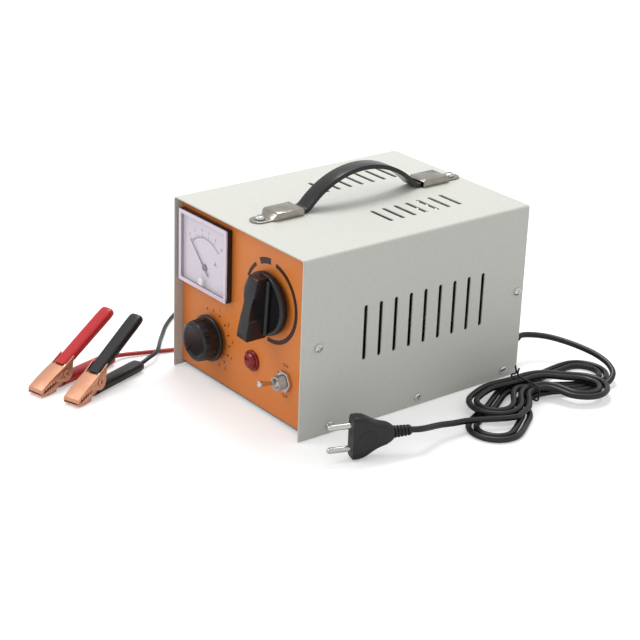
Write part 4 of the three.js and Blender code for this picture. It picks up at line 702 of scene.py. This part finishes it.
def lobe_point(lobe, side):
    """Point of a lobe's outer turn, as its distance out and across."""
    end, length, round_end, lean, plus, minus, layer = lobe
    travel = 1 - abs(side)
    slot = (plus if side > 0 else minus) * hank_pitch
    centre = length - round_end
    if travel < flare_share:
        t = travel / flare_share
        out = (3 * (1 - t) ** 2 * t * centre * 0.45 + 3 * (1 - t) * t * t * centre * 0.5
               + t ** 3 * centre)
        across = ((1 - t) ** 3 * slot + 3 * (1 - t) ** 2 * t * slot
                  + 3 * (1 - t) * t * t * round_end + t ** 3 * round_end)
    else:
        turn = (travel - flare_share) / (1 - flare_share) * math.pi / 2
        out = centre + round_end * math.sin(turn)
        across = round_end * math.cos(turn)
    tilt = math.radians(lean) * eased(out / 42)
    across = across if side > 0 else -across
    return Vector((out * math.cos(tilt) - across * math.sin(tilt),
                   across * math.cos(tilt) + out * math.sin(tilt)))


def lobe_turn(lobe, inward, start=1.0, stop=-1.0):
    """A stretch of a turn that lies some pitches inside the outer one."""
    count = round(abs(stop - start) * steps_per_side)
    points = []
    for i in range(count + 1):
        side = start + (stop - start) * i / count
        ahead = (lobe_point(lobe, max(side - 0.02, -1))
                 - lobe_point(lobe, min(side + 0.02, 1))).normalized()
        place = lobe_point(lobe, side) + Vector((ahead.y, -ahead.x)) * inward * hank_pitch
        points.append((lobe[0] * place.x, place.y, lobe[6]))
    return points


def hank_route():
    """The folded flex from its first point to its last, in one line."""
    runs = [
        lobe_turn(lower_far, -1, 0.5, 1),
        lobe_turn(lower_near, 0), lobe_turn(lower_far, 0)[::-1],
        lobe_turn(lower_near, 1), lobe_turn(lower_far, 1)[::-1],
        lobe_turn(upper_near, 1), lobe_turn(upper_far, 1)[::-1],
        lobe_turn(upper_near, 0), lobe_turn(upper_far, 0)[::-1],
        lobe_turn(upper_near, -1, 1, 0.4)]
    points = []
    for k, run in enumerate(runs):
        for along, across, layer in run[0 if k == 0 else 1:]:
            climbs = k in (4, 5) and abs(along) < 17 and across > 0
            level = eased((along / 17 + 1) / 2) if climbs else layer
            lift = hank_lift * (1 - eased((math.hypot(along, across) - 14) / 45))
            points.append(Vector((hank_x + across, hank_y - along,
                                  mains_radius + level * hank_rise + lift)))
    return points


def beyond(end, before, distance):
    """The point a distance past the end of a route, along its last step."""
    return end + (end - before).normalized() * distance


def smooth_route(points, steps):
    """A centripetal spline through the points."""
    points = [Vector(p) for p in points]
    points = [2 * points[0] - points[1], *points, 2 * points[-1] - points[-2]]
    route = []
    for a, b, c, d in zip(points, points[1:], points[2:], points[3:]):
        t0, t1 = 0, (b - a).length ** 0.5
        t2 = t1 + (c - b).length ** 0.5
        t3 = t2 + (d - c).length ** 0.5
        for i in range(steps):
            t = t1 + (t2 - t1) * i / steps
            ab = ((t1 - t) * a + (t - t0) * b) / (t1 - t0)
            bc = ((t2 - t) * b + (t - t1) * c) / (t2 - t1)
            cd = ((t3 - t) * c + (t - t2) * d) / (t3 - t2)
            abc = ((t2 - t) * ab + (t - t0) * bc) / (t2 - t0)
            bcd = ((t3 - t) * bc + (t - t1) * cd) / (t3 - t1)
            route.append(((t2 - t) * abc + (t - t1) * bcd) / (t2 - t1))
    return [*route, points[-2]]


def round_line(name, places, radius, resolution):
    """A round bar along places with closed ends, as a curve of one open line."""
    curve = bpy.data.curves.new(name, "CURVE")
    curve.dimensions = "3D"
    curve.bevel_depth = radius
    curve.bevel_resolution = resolution
    curve.use_fill_caps = True
    line = curve.splines.new("POLY")
    line.points.add(len(places) - 1)
    for point, place in zip(line.points, places):
        point.co = (*place, 1)
    line.use_smooth = True
    return curve


def lay_flex(name, route, radius, finish):
    """A round flex along a route in millimetres, left as a curve."""
    curve = round_line(name, [to_model @ place for place in route], radius / 1000, 3)
    curve.materials.append(finish)
    flex = bpy.data.objects.new(name, curve)
    bpy.context.scene.collection.objects.link(flex)
    return flex


plug_face = Vector((128.5, -98.1, 18.7))    # the plug's front, where the flex is headed
plug_heading = math.radians(-19.1)
plug_length = 48.6
plug_back = Vector((-math.sin(plug_heading), math.cos(plug_heading), 0))
folded = hank_route()
mains_exit = Vector((gland_x, case_depth / 2 + 19.8, gland_z))
mains_points = [
    mains_exit, (66, 140.5, 22), (69, 149, 21.2), (77, 158.5, 20.2), (89, 166, 18.8),
    (104, 172, 17), (120, 175.5, 14.8), (135, 174.5, 12), (145.5, 169, 8.8), (149, 160.5, 5),
    beyond(folded[0], folded[1], 5.3), *folded, beyond(folded[-1], folded[-2], 5.3),
    (143.9, 7.6, 9.4), (142.3, -5, 10.2), (142.4, -20, 12.8),
    plug_face + plug_back * (plug_length + 8) - Vector((0, 0, 0.6)),
    plug_face + plug_back * plug_length]
mains_flex = lay_flex("mains_flex", smooth_route(mains_points, 4), mains_radius, soft_pvc)
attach(mains_flex, "case")
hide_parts("mains_cord", "mains_hank", "mains_tail")

# ---------------------------------------------------------------- hank tie
# Soft wire in a black PVC skin, bent round the hank's waist, with its two ends standing up
# side by side on top.
tie_radius = 0.8
tie_wall = tie_radius + 0.45
tie_left = hank_x - 1.5 * hank_pitch - mains_radius - tie_wall
tie_right = hank_x + 2.5 * hank_pitch + mains_radius + tie_wall + 0.3
tie_low = hank_lift - tie_wall
tie_high = hank_lift + hank_rise + 2 * mains_radius + tie_wall
tie_ring = [(tie_left + 3.4, tie_high + 8), (tie_left + 4.9, tie_high + 4),
            (tie_left + 4.9, tie_high + 1.6),
            *arc((tie_left + 3, tie_high - 3), 3, 110, 180, 4),
            *arc((tie_left + 3, tie_low + 3), 3, 180, 270, 5),
            *arc((tie_right - 3, tie_low + 3), 3, 270, 360, 5),
            *arc((tie_right - 3, tie_high - 3), 3, 0, 90, 5),
            (tie_left + 9.1, tie_high + 0.4), (tie_left + 7.1, tie_high + 1.8),
            (tie_left + 7.1, tie_high + 4), (tie_left + 8.1, tie_high + 7)]


def bent_wire(places, radius):
    """A round wire along places, with closed ends, as a shape."""
    shape = shape_of(round_line("wire", places, radius, 2))
    bmesh.ops.remove_doubles(shape, verts=shape.verts, dist=0.001)
    bmesh.ops.recalc_face_normals(shape, faces=shape.faces)
    return shape


tie_route = smooth_route([(x, hank_y, z) for x, z in tie_ring], 3)
wire_tie = add_piece("wire_tie", bent_wire(tie_route, tie_radius), soft_pvc,
                     instead_of=["hank_tie"], sharp=60)

# ---------------------------------------------------------------- mains plug
# A flat two-pin plug moulded in PVC on the end of the flex, with finger recesses on its flat
# sides and a ribbed strain relief of its own. The pins are moulded in.


def lofted(sections):
    """Skins closed rings of points, one after another, and closes both ends."""
    shape = bmesh.new()
    rings = []
    for section in sections:
        ring = [shape.verts.new(p) for p in section]
        rings.append([shape.edges.new((ring[i - 1], ring[i])) for i in range(len(ring))])
    for one, other in zip(rings, rings[1:]):
        bmesh.ops.bridge_loops(shape, edges=one + other)
    bmesh.ops.contextual_create(shape, geom=rings[0])
    bmesh.ops.contextual_create(shape, geom=rings[-1])
    bmesh.ops.recalc_face_normals(shape, faces=shape.faces)
    return shape


def oval(half_x, half_z, along, power, count):
    """A rounded section across Y; a high power squares it."""
    points = []
    for i in range(count):
        turn = math.tau * (i + 0.5) / count
        c, s = math.cos(turn), math.sin(turn)
        points.append((half_x * math.copysign(abs(c) ** (2 / power), c), along,
                       half_z * math.copysign(abs(s) ** (2 / power), s)))
    return points


plug_sections = [      # along the plug from its face: half thickness, half height, squareness
    (0, 6.0, 16.8, 6), (0.8, 6.8, 17.6, 6), (5, 6.8, 17.6, 6), (8.5, 6.75, 17.1, 5.5),
    (11.5, 6.7, 15.9, 5), (14.5, 6.6, 14.1, 4.6), (17.5, 6.45, 12.4, 4.2),
    (20.5, 6.3, 11.0, 3.8), (24, 6.0, 10.0, 3.4), (28, 5.6, 9.1, 3.2), (31.5, 5.1, 7.2, 3),
    (33.5, 4.7, 5.6, 2.6)]
for i in range(5):     # ribs of the plug's own strain relief
    at = 34.6 + 2.8 * i
    big = 4.7 - 0.14 * i
    plug_sections += [(at - 0.5, big - 0.8, big - 0.7, 2.2), (at, big, big, 2.2),
                      (at + 1.2, big, big, 2.2), (at + 1.7, big - 0.8, big - 0.7, 2.2)]
plug_sections += [(plug_length - 0.6, 3.6, 3.7, 2), (plug_length, 3.2, 3.2, 2)]
plug_shape = lofted([oval(x, z, y, power, 56) for y, x, z, power in plug_sections])
grooves = []
for side in (-1, 1):   # finger recesses on both flat sides
    groove = bmesh.new()
    bmesh.ops.create_uvsphere(groove, u_segments=32, v_segments=16, radius=1)
    bmesh.ops.scale(groove, vec=(1.6, 8.2, 6.4), verts=groove.verts)
    grooves.append(moved(groove, (side * 6.9, 12.5, 0)))
plug_place = Matrix.Translation(plug_face) @ Matrix.Rotation(plug_heading, 4, "Z")
plug_piece = add_piece("moulded_plug", moved(carve(plug_shape, *grooves), turn=plug_place),
                       soft_pvc, instead_of=["mains_plug"])

pin_radius = 2.4
pin_length = 19.0
pin_spacing = 19.0

# nickel plate on polished brass: bright and smooth, a little warmer than chrome
bright_nickel = mottled_finish("nickel_plated_brass", "#D6D5D2", "#C2C1BE", 4, metallic=1.0,
                               roughness=(0.14, 0.24), relief_mm=0.006)
for name, rise in (("upper", pin_spacing / 2), ("lower", -pin_spacing / 2)):
    pin = spun([(0, -3.7), (pin_radius, -3.7), (pin_radius, pin_length - 2.4),
                (2.1, pin_length - 1.3), (1.3, pin_length - 0.4), (0.5, pin_length),
                (0, pin_length)], 28)
    moved(pin, (0, 0, rise), facing_front)
    add_piece(f"round_pin_{name}", moved(pin, turn=plug_place), bright_nickel,
                          instead_of=[f"plug_pin_{name}"])

# ---------------------------------------------------------------- battery leads
# Two single-core leads in red and black PVC leave the rear wall through one oval rubber
# grommet. Their spare length lies in two flat coils behind the case.
lead_radius = 1.8
lead_gland_x, lead_gland_z = -50.0, 24.0
lead_spacing = 12.0
lead_face = case_depth / 2 + 4.8
coil_y = 160.0                        # of both coils' centres
coil_outer = 24.0
coil_pitch = 4.8
coil_steps = 24                       # points in a turn

# the same PVC, dyed red
red_pvc = mottled_finish("red_pvc_jacket", "#B3241E", "#9A1A16", 1.2, roughness=(0.3, 0.42),
                         relief_mm=0.01)
# carbon-filled rubber, moulded: dark grey and matt, with a fine dry grain
grommet_rubber = mottled_finish("moulded_rubber", "#242426", "#1A1A1B", 0.8,
                                roughness=(0.5, 0.65), relief_mm=0.02)
dress(grommet_rubber, "lead_gland")

# each clip: where its jaws' tips are on the floor, and its heading; a lead ends inside the
# lower handle, which starts at s along the clip
red_clip = (Vector((-97.9, -240, 0)), math.radians(14))
black_clip = (Vector((-66.2, -225.6, 0)), math.radians(19))
lower_handle_s, lower_handle_length = 37.0, 50.0


def coil_route(centre, start_angle, turns, hand):
    """In by a flat spiral, up a layer at its middle, and out again."""
    total = round(turns * coil_steps)
    half_turn = coil_steps / 2
    inmost = coil_outer - coil_pitch * (total - half_turn) / 2 / coil_steps
    points = []
    for i in range(total + 1):
        angle = math.radians(start_angle) + hand * math.tau * i / coil_steps
        outward = max(abs(i - total / 2) - half_turn / 2, 0) / coil_steps
        radius = inmost + coil_pitch * outward
        rise = eased((i - total / 2) / half_turn + 0.5)
        points.append(Vector((centre[0] + radius * math.cos(angle),
                              centre[1] + radius * math.sin(angle),
                              lead_radius + coil_pitch * rise)))
    return points


def behind_clip(clip, distance, height):
    """Where a lead is, a distance behind its clip's lower sleeve."""
    place, heading = clip
    back = Vector((-math.sin(heading), math.cos(heading), 0))
    behind = lower_handle_s + lower_handle_length + distance
    return place + back * behind + Vector((0, 0, height))


floor_z = lead_radius
red_onward = [        # from the coil to the clip
    (-48, 131, floor_z), (-66, 125.5, floor_z), (-84, 124, floor_z), (-97, 117, floor_z),
    (-104, 102, floor_z), (-106, 70, floor_z), (-105, 20, floor_z), (-105, -40, floor_z),
    (-106, -80, floor_z), (-110, -101, 2), (-116, -120, 2.4),
    behind_clip(red_clip, 12, 3.4), behind_clip(red_clip, 4, 4.8)]
black_onward = [
    (-107, 140, floor_z), (-118, 127, floor_z), (-140, 114, floor_z), (-165, 96, floor_z),
    (-183, 66, floor_z), (-190, 20, floor_z), (-187, -22, floor_z), (-176, -52, floor_z),
    (-158, -75, floor_z), (-139, -92, 2.6), (-124, -104, 5.2), (-112, -113, 6.9),
    (-104, -120.5, 6.9), behind_clip(black_clip, 12, 6.4), behind_clip(black_clip, 4, 5.2)]
leads = {}
for colour, side, start_angle, turns, clip, finish, onward in [
        ("red", 1, -90, 4.75, red_clip, red_pvc, red_onward),
        ("black", -1, 180, 4.5, black_clip, soft_pvc, black_onward)]:
    lead_x = lead_gland_x + side * lead_spacing / 2
    coiled = coil_route((lead_x + side * coil_outer, coil_y), start_angle, turns, side)
    first, last = beyond(coiled[0], coiled[1], 3.6), beyond(coiled[-1], coiled[-2], 3.6)
    coiled = [first, *coiled, last]
    lead_exit = Vector((lead_x, lead_face, lead_gland_z))
    points = [lead_exit, (lead_x, 123.5, 24), (lead_x, 130.5, 19.5), (lead_x, 137.5, 12),
              beyond(coiled[-1], coiled[-2], 4), *coiled[::-1],
              beyond(coiled[0], coiled[1], 4), *onward, behind_clip(clip, 0, 5),
              behind_clip(clip, -22, 5.2), behind_clip(clip, -45, 5.2)]
    lead = lay_flex(f"{colour}_battery_lead", smooth_route(points, 4), lead_radius, finish)
    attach(lead, "case")
    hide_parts(f"{colour}_lead", f"{colour}_coil", f"{colour}_lead_front")
    leads[colour] = (lead, lead_exit)

# ---------------------------------------------------------------- battery clips
# Each clip is two channel stampings of copper-plated steel with saw teeth, hinged on a
# rivet, held shut by a torsion spring, with a dipped vinyl sleeve over each handle.
lower_handle_z = 5.0
upper_handle_s, upper_handle_z, upper_handle_length = 27.5, 17.2, 66.0
upper_handle_slope = 29
lower_slant, upper_slant = -15.0, 9.5       # of the sleeves' mouths, from top to bottom
sleeve_half_width, sleeve_half_depth = 6.3, 4.2
sleeve_bore_width, sleeve_bore_depth = 10.1, 5.5
jaw_round = 0.22                      # on the stampings' edges
pivot_s, pivot_z = 28.0, 13.0
rivet_radius = 2.0
rivet_half = 7.8                      # half the grip between its heads
spring_radius, spring_wire = 3.25, 0.55     # of the turns' middle line, and of the wire
spring_half = 2.9                     # half the length of the turns


def copy_of(node, round_off, angle=30):
    """A solid of the model as one clean shape, with its edges rounded off."""
    shape = bmesh.new()
    shape.from_mesh(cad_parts[node].data)
    bmesh.ops.transform(shape, matrix=to_model.inverted(), verts=shape.verts)
    bmesh.ops.remove_doubles(shape, verts=shape.verts, dist=0.01)
    bmesh.ops.dissolve_limit(shape, angle_limit=math.radians(1), verts=shape.verts,
                             edges=shape.edges)
    return soften(shape, round_off, angle)


# copper plate on stamped steel: a soft pink-orange metal, clouded by handling
copper_plate = mottled_finish("copper_plated_steel", "#E6B296", "#CE9172", 5, metallic=1.0,
                              roughness=(0.34, 0.5), relief_mm=0.015)
# vinyl, dipped hot and cured: glossy, with the small uneven ripples of a dipped coat
red_vinyl = mottled_finish("red_dipped_vinyl", "#C4262B", "#A81A20", 1.6,
                           roughness=(0.22, 0.4), relief_mm=0.11)
black_vinyl = mottled_finish("black_dipped_vinyl", "#17171A", "#0C0C0E", 1.6,
                             roughness=(0.3, 0.5), relief_mm=0.11)
# plated spring wire, wound: a plain grey metal
spring_steel = mottled_finish("plated_spring_wire", "#B9B9B6", "#979794", 2, metallic=1.0,
                              roughness=(0.25, 0.4), relief_mm=0.01)


def vinyl_sleeve(length, slant):
    """A dipped sleeve along +Y: a rolled lip, a rounded closed end and a slanting mouth,
    which starts a distance later on the lower side than on the upper, or sooner."""
    half_x, half_z = sleeve_half_width, sleeve_half_depth
    start = min(0, slant)
    sections = [(start, 1), (3, 0.965), (6, 0.955), (length * 0.45, 0.985), (length - 9, 1),
                (length - 4, 0.98), (length - 1.8, 0.9), (length - 0.6, 0.76), (length, 0.55)]
    sleeve = lofted([oval(half_x * (1 - (1 - size) * 0.6), half_z * size, y, 2.9, 48)
                     for y, size in sections])
    bore = block((sleeve_bore_width, length - 1 - start, sleeve_bore_depth),
                 (0, (length - 3 + start) / 2, -sleeve_bore_depth / 2))
    mouth = plate([(start - 2, half_z + 0.5), (start - 2, -half_z - 0.5), (slant, -half_z - 0.5),
                   (0, half_z + 0.5)], 20)
    return carve(sleeve, bore, moved(mouth, (-10, 0, 0), on_edge))


def spring_route():
    """The middle line of the torsion spring about the rivet, with its two legs."""
    steps = 27                        # eight to a turn
    points = []
    for i in range(steps + 1):
        turn = math.radians(-90 - 45 * i)
        points.append(Vector((-spring_half + 2 * spring_half * i / steps,
                              pivot_s + spring_radius * math.cos(turn),
                              pivot_z + spring_radius * math.sin(turn))))
    return [points[0] + Vector((0, 5, 0.2)), *points, beyond(points[-1], points[-2], 2)]


for colour, clip, vinyl in [
        ("red", red_clip, red_vinyl), ("black", black_clip, black_vinyl)]:
    place, heading = clip
    clip_place = Matrix.Translation(place) @ Matrix.Rotation(heading, 4, "Z")
    top_body = f"{colour}_clip_top"
    lower_jaw = add_piece(
        f"{colour}_jaw_lower", copy_of(f"{colour}_clip_lower_jaw", jaw_round),
        copper_plate, instead_of=[f"{colour}_clip_lower_jaw"])
    upper_jaw = add_piece(
        f"{colour}_jaw_upper", copy_of(f"{colour}_clip_upper_jaw", jaw_round),
        copper_plate, top_body, [f"{colour}_clip_upper_jaw"])
    lower_sleeve = add_piece(
        f"{colour}_sleeve_lower",
        moved(vinyl_sleeve(lower_handle_length, lower_slant),
              turn=clip_place @ Matrix.Translation((0, lower_handle_s, lower_handle_z))),
        vinyl, instead_of=[f"{colour}_clip_lower_sleeve"])
    upper_sleeve = add_piece(
        f"{colour}_sleeve_upper",
        moved(vinyl_sleeve(upper_handle_length, upper_slant),
              turn=clip_place @ Matrix.Translation((0, upper_handle_s, upper_handle_z))
              @ Matrix.Rotation(math.radians(upper_handle_slope), 4, "X")),
        vinyl, top_body, [f"{colour}_clip_upper_sleeve"])
    rolled_head = [(0, -0.6), (0.9, -0.6), (0.9, 0.7), (1.5, 0.9), (2.6, 0.5), (2.9, 0)]
    rivet = spun([(r, -rivet_half - out) for r, out in rolled_head]
                 + [(rivet_radius, -rivet_half), (rivet_radius, rivet_half)]
                 + [(r, rivet_half + out) for r, out in rolled_head[::-1]], 28)
    rivet_place = Matrix.Translation((0, pivot_s, pivot_z)) @ Matrix.Rotation(math.pi / 2, 4, "Y")
    pivot = add_piece(f"{colour}_jaw_rivet", moved(rivet, turn=clip_place @ rivet_place),
                      copper_plate, instead_of=[f"{colour}_clip_rivet"])
    spring = add_piece(
        f"{colour}_jaw_spring",
        moved(bent_wire(smooth_route(spring_route(), 3), spring_wire), turn=clip_place),
        spring_steel, instead_of=[f"{colour}_clip_spring"], sharp=60)
    lead, lead_exit = leads[colour]

# ---------------------------------------------------------------- cover
# One sheet of 1 mm steel folded into a U over both sides and the top, with its slots punched
# before it was bent. It is stove enamelled in pale grey and screwed to the chassis.
sheet_mm = 1.0
fold_mm = 2.5                         # outer radius of the folds
cover_low = 0.6                       # the sides' lower edges
half_width = case_width / 2
slot_count, slot_pitch, slot_width = 9, 15.2, 3.6           # upright, in the sides
slot_first, slot_low, slot_high = -53.0, 55.0, 101.0
vent_count, vent_pitch, vent_width = 7, 12.0, 3.8           # in two rows on top
vent_first, vent_near, vent_far = -3.0, 27.0, 54.0

# hammered stove enamel, sprayed and baked: pale warm grey with fine dimples
grey_enamel = mottled_finish("grey_hammered_enamel", "#CBCBC5", "#BEBEB7", 2.4,
                             roughness=(0.42, 0.56), relief_mm=0.06)


def capsule(half_length, radius, thickness):
    """A slot-shaped slug with round ends along X, its thickness centred on Z."""
    points = arc((half_length - radius, 0), radius, -90, 90, 8)
    points += arc((radius - half_length, 0), radius, 90, 270, 8)
    return moved(plate(points, thickness), (0, 0, -thickness / 2))


skin = [(half_width, cover_low)]
skin += arc((half_width - fold_mm, case_top - fold_mm), fold_mm, 0, 90, 8)
skin += arc((fold_mm - half_width, case_top - fold_mm), fold_mm, 90, 180, 8)
skin += [(-half_width, cover_low), (sheet_mm - half_width, cover_low)]
skin += arc((fold_mm - half_width, case_top - fold_mm), fold_mm - sheet_mm, 180, 90, 8)
skin += arc((half_width - fold_mm, case_top - fold_mm), fold_mm - sheet_mm, 90, 0, 8)
skin += [(half_width - sheet_mm, cover_low)]
folded_sheet = moved(plate(skin, case_depth), (0, case_depth / 2, 0), facing_front)

slugs = []
for i in range(slot_count):
    slug = capsule((slot_high - slot_low) / 2, slot_width / 2, 2 * half_width + 4)
    moved(slug, turn=Matrix.Rotation(math.pi / 2, 4, "Y"))
    slugs.append(moved(slug, (0, slot_first + i * slot_pitch, (slot_low + slot_high) / 2)))
for i in range(vent_count):
    for side in (-1, 1):
        slug = capsule((vent_far - vent_near) / 2, vent_width / 2, 8)
        slugs.append(moved(slug, (side * (vent_near + vent_far) / 2,
                                  vent_first + i * vent_pitch, case_top)))
add_piece("folded_cover", carve(folded_sheet, *slugs), grey_enamel,
          instead_of=["cover"])

# ---------------------------------------------------------------- cover screws
# Five pan-head screws a side, of brightly plated steel with a cross recess, hold the cover
# to the chassis and the front panel.
screw_radius = 3.6
screw_places = [(-98.4, 76), (108.4, 76), (-84.9, 7.5), (5.2, 7.5), (99.3, 7.5)]   # y, z


def cross_recess(radius, top, depth, turn):
    """The two crossed slots of a screwdriver recess."""
    slots = []
    for quarter in (0, 90):
        slot = block((2 * radius, 0.32 * radius, 3), (0, 0, top - depth))
        slots.append(moved(slot, turn=Matrix.Rotation(math.radians(turn + quarter), 4, "Z")))
    return slots


for side in (-1, 1):
    for i, (y, z) in enumerate(screw_places):
        head = spun([(0, -6), (1.75, -6), (1.75, 0.05), (screw_radius, 0.05),
                     (screw_radius, 0.7), (3.3, 1.3), (2.4, 1.85), (1.2, 2.1), (0, 2.15)], 32)
        head = carve(head, *cross_recess(2.1, 2.2, 1.3, 20 + 47 * i))
        moved(head, (side * half_width, y, z), Matrix.Rotation(side * math.pi / 2, 4, "Y"))
        add_piece(f"cover_screw_{'left' if side < 0 else 'right'}_{i + 1}", head,
                  polished_chrome)

# ---------------------------------------------------------------- feet
# Four moulded rubber feet. Each has a barbed stem that is pushed into a hole in the floor
# plate and holds by itself.
foot_x, foot_y = 66, 88
for depth_name, y in (("front", -foot_y), ("rear", foot_y)):
    for side_name, x in (("left", -foot_x), ("right", foot_x)):
        foot = spun([(0, 0.9), (3.2, 0.9), (3.8, 0), (6.0, 0), (6.7, 0.4), (7, 1.2),
                     (7, 3.1), (3.4, 3.1), (3.4, 4.9), (4.4, 5.2), (3.4, 7.6), (0, 7.6)], 32)
        add_piece(f"rubber_foot_{depth_name}_{side_name}", moved(foot, (x, y, 0)),
                  grommet_rubber,
                  instead_of=[f"foot_{depth_name}_{side_name}"])

# ---------------------------------------------------------------- strap handle
# A strap of black vinyl moulded over a spring steel strip, arched between two stamped caps.
# Each cap holds one end of the strap down and is screwed to the cover.
handle_x, handle_y = -2.0, 7.5
strap_width, strap_thick, strap_rise = 14.0, 3.6, 25.5
arch_foot, arch_fillet = 56.0, 9.0    # where the arch would meet the cover, and its last bend
mouth_reach, strap_tail = 62.0, 18.0  # to the caps' mouths, and the strap's length in a cap
strap_base = case_top + 0.3
handle_screw_reach = 98.5             # along the strap, from its middle

# soft vinyl, moulded: black and glossy, with a faint fine grain
strap_vinyl = mottled_finish("black_moulded_vinyl", "#19191B", "#101011", 1.2,
                             roughness=(0.2, 0.3), relief_mm=0.02)
strap_level = strap_thick / 2
arch_radius = (arch_foot ** 2 + strap_rise ** 2) / (2 * strap_rise)
end_lean = math.degrees(math.asin(arch_foot / arch_radius))
trimmed = arch_fillet * math.tan(math.radians(end_lean / 2))
cut_back = math.degrees(trimmed / arch_radius)
half_line = arc((0, strap_level + strap_rise - arch_radius), arch_radius, 90,
                90 - end_lean + cut_back, 20)
half_line += arc((arch_foot + trimmed, strap_level + arch_fillet), arch_fillet,
                 270 - end_lean, 270, 8)
half_line += [(mouth_reach + strap_tail, strap_level)]
middle_line = [(-s, z) for s, z in half_line[:0:-1]] + half_line
upper_side, lower_side = [], []
for i, (s, z) in enumerate(middle_line):
    before = middle_line[max(i - 1, 0)]
    after = middle_line[min(i + 1, len(middle_line) - 1)]
    along = Vector((after[0] - before[0], after[1] - before[1])).normalized()
    upper_side.append((s - along.y * strap_thick / 2, z + along.x * strap_thick / 2))
    lower_side.append((s + along.y * strap_thick / 2, z - along.x * strap_thick / 2))
strap = moved(plate(upper_side + lower_side[::-1], strap_width),
              (handle_x - strap_width / 2, handle_y, strap_base), on_edge)
soften(strap, 1.0, 50, 3)
add_piece("arched_strap", strap, strap_vinyl, instead_of=["handle_strap"])

# nickel plate on pressed sheet: a warm grey metal with shallow, broad ripples
nickel_pressing = mottled_finish("nickel_plated_pressing", "#B9B4AC", "#8B867E", 7,
                                 metallic=1.0, roughness=(0.1, 0.26), relief_mm=0.16)
for name in ("front", "rear"):
    add_piece(f"stamped_cap_{name}", copy_of(f"handle_cap_{name}", 0.45),
              nickel_pressing, instead_of=[f"handle_cap_{name}"])
for name, sign in (("front", -1), ("rear", 1)):
    head = spun([(0, -5.9), (1.8, -5.9), (1.8, 0.05), (4, 0.05), (4, 0.8), (3.6, 1.6),
                 (2.6, 2.3), (1.2, 2.65), (0, 2.7)], 32)
    head = carve(head, *cross_recess(2.3, 2.75, 1.4, 30))
    moved(head, (handle_x, handle_y + sign * handle_screw_reach, case_top + 1.8))
    add_piece(f"strap_screw_{name}", head, polished_chrome,
              instead_of=[f"handle_screw_{name}"])
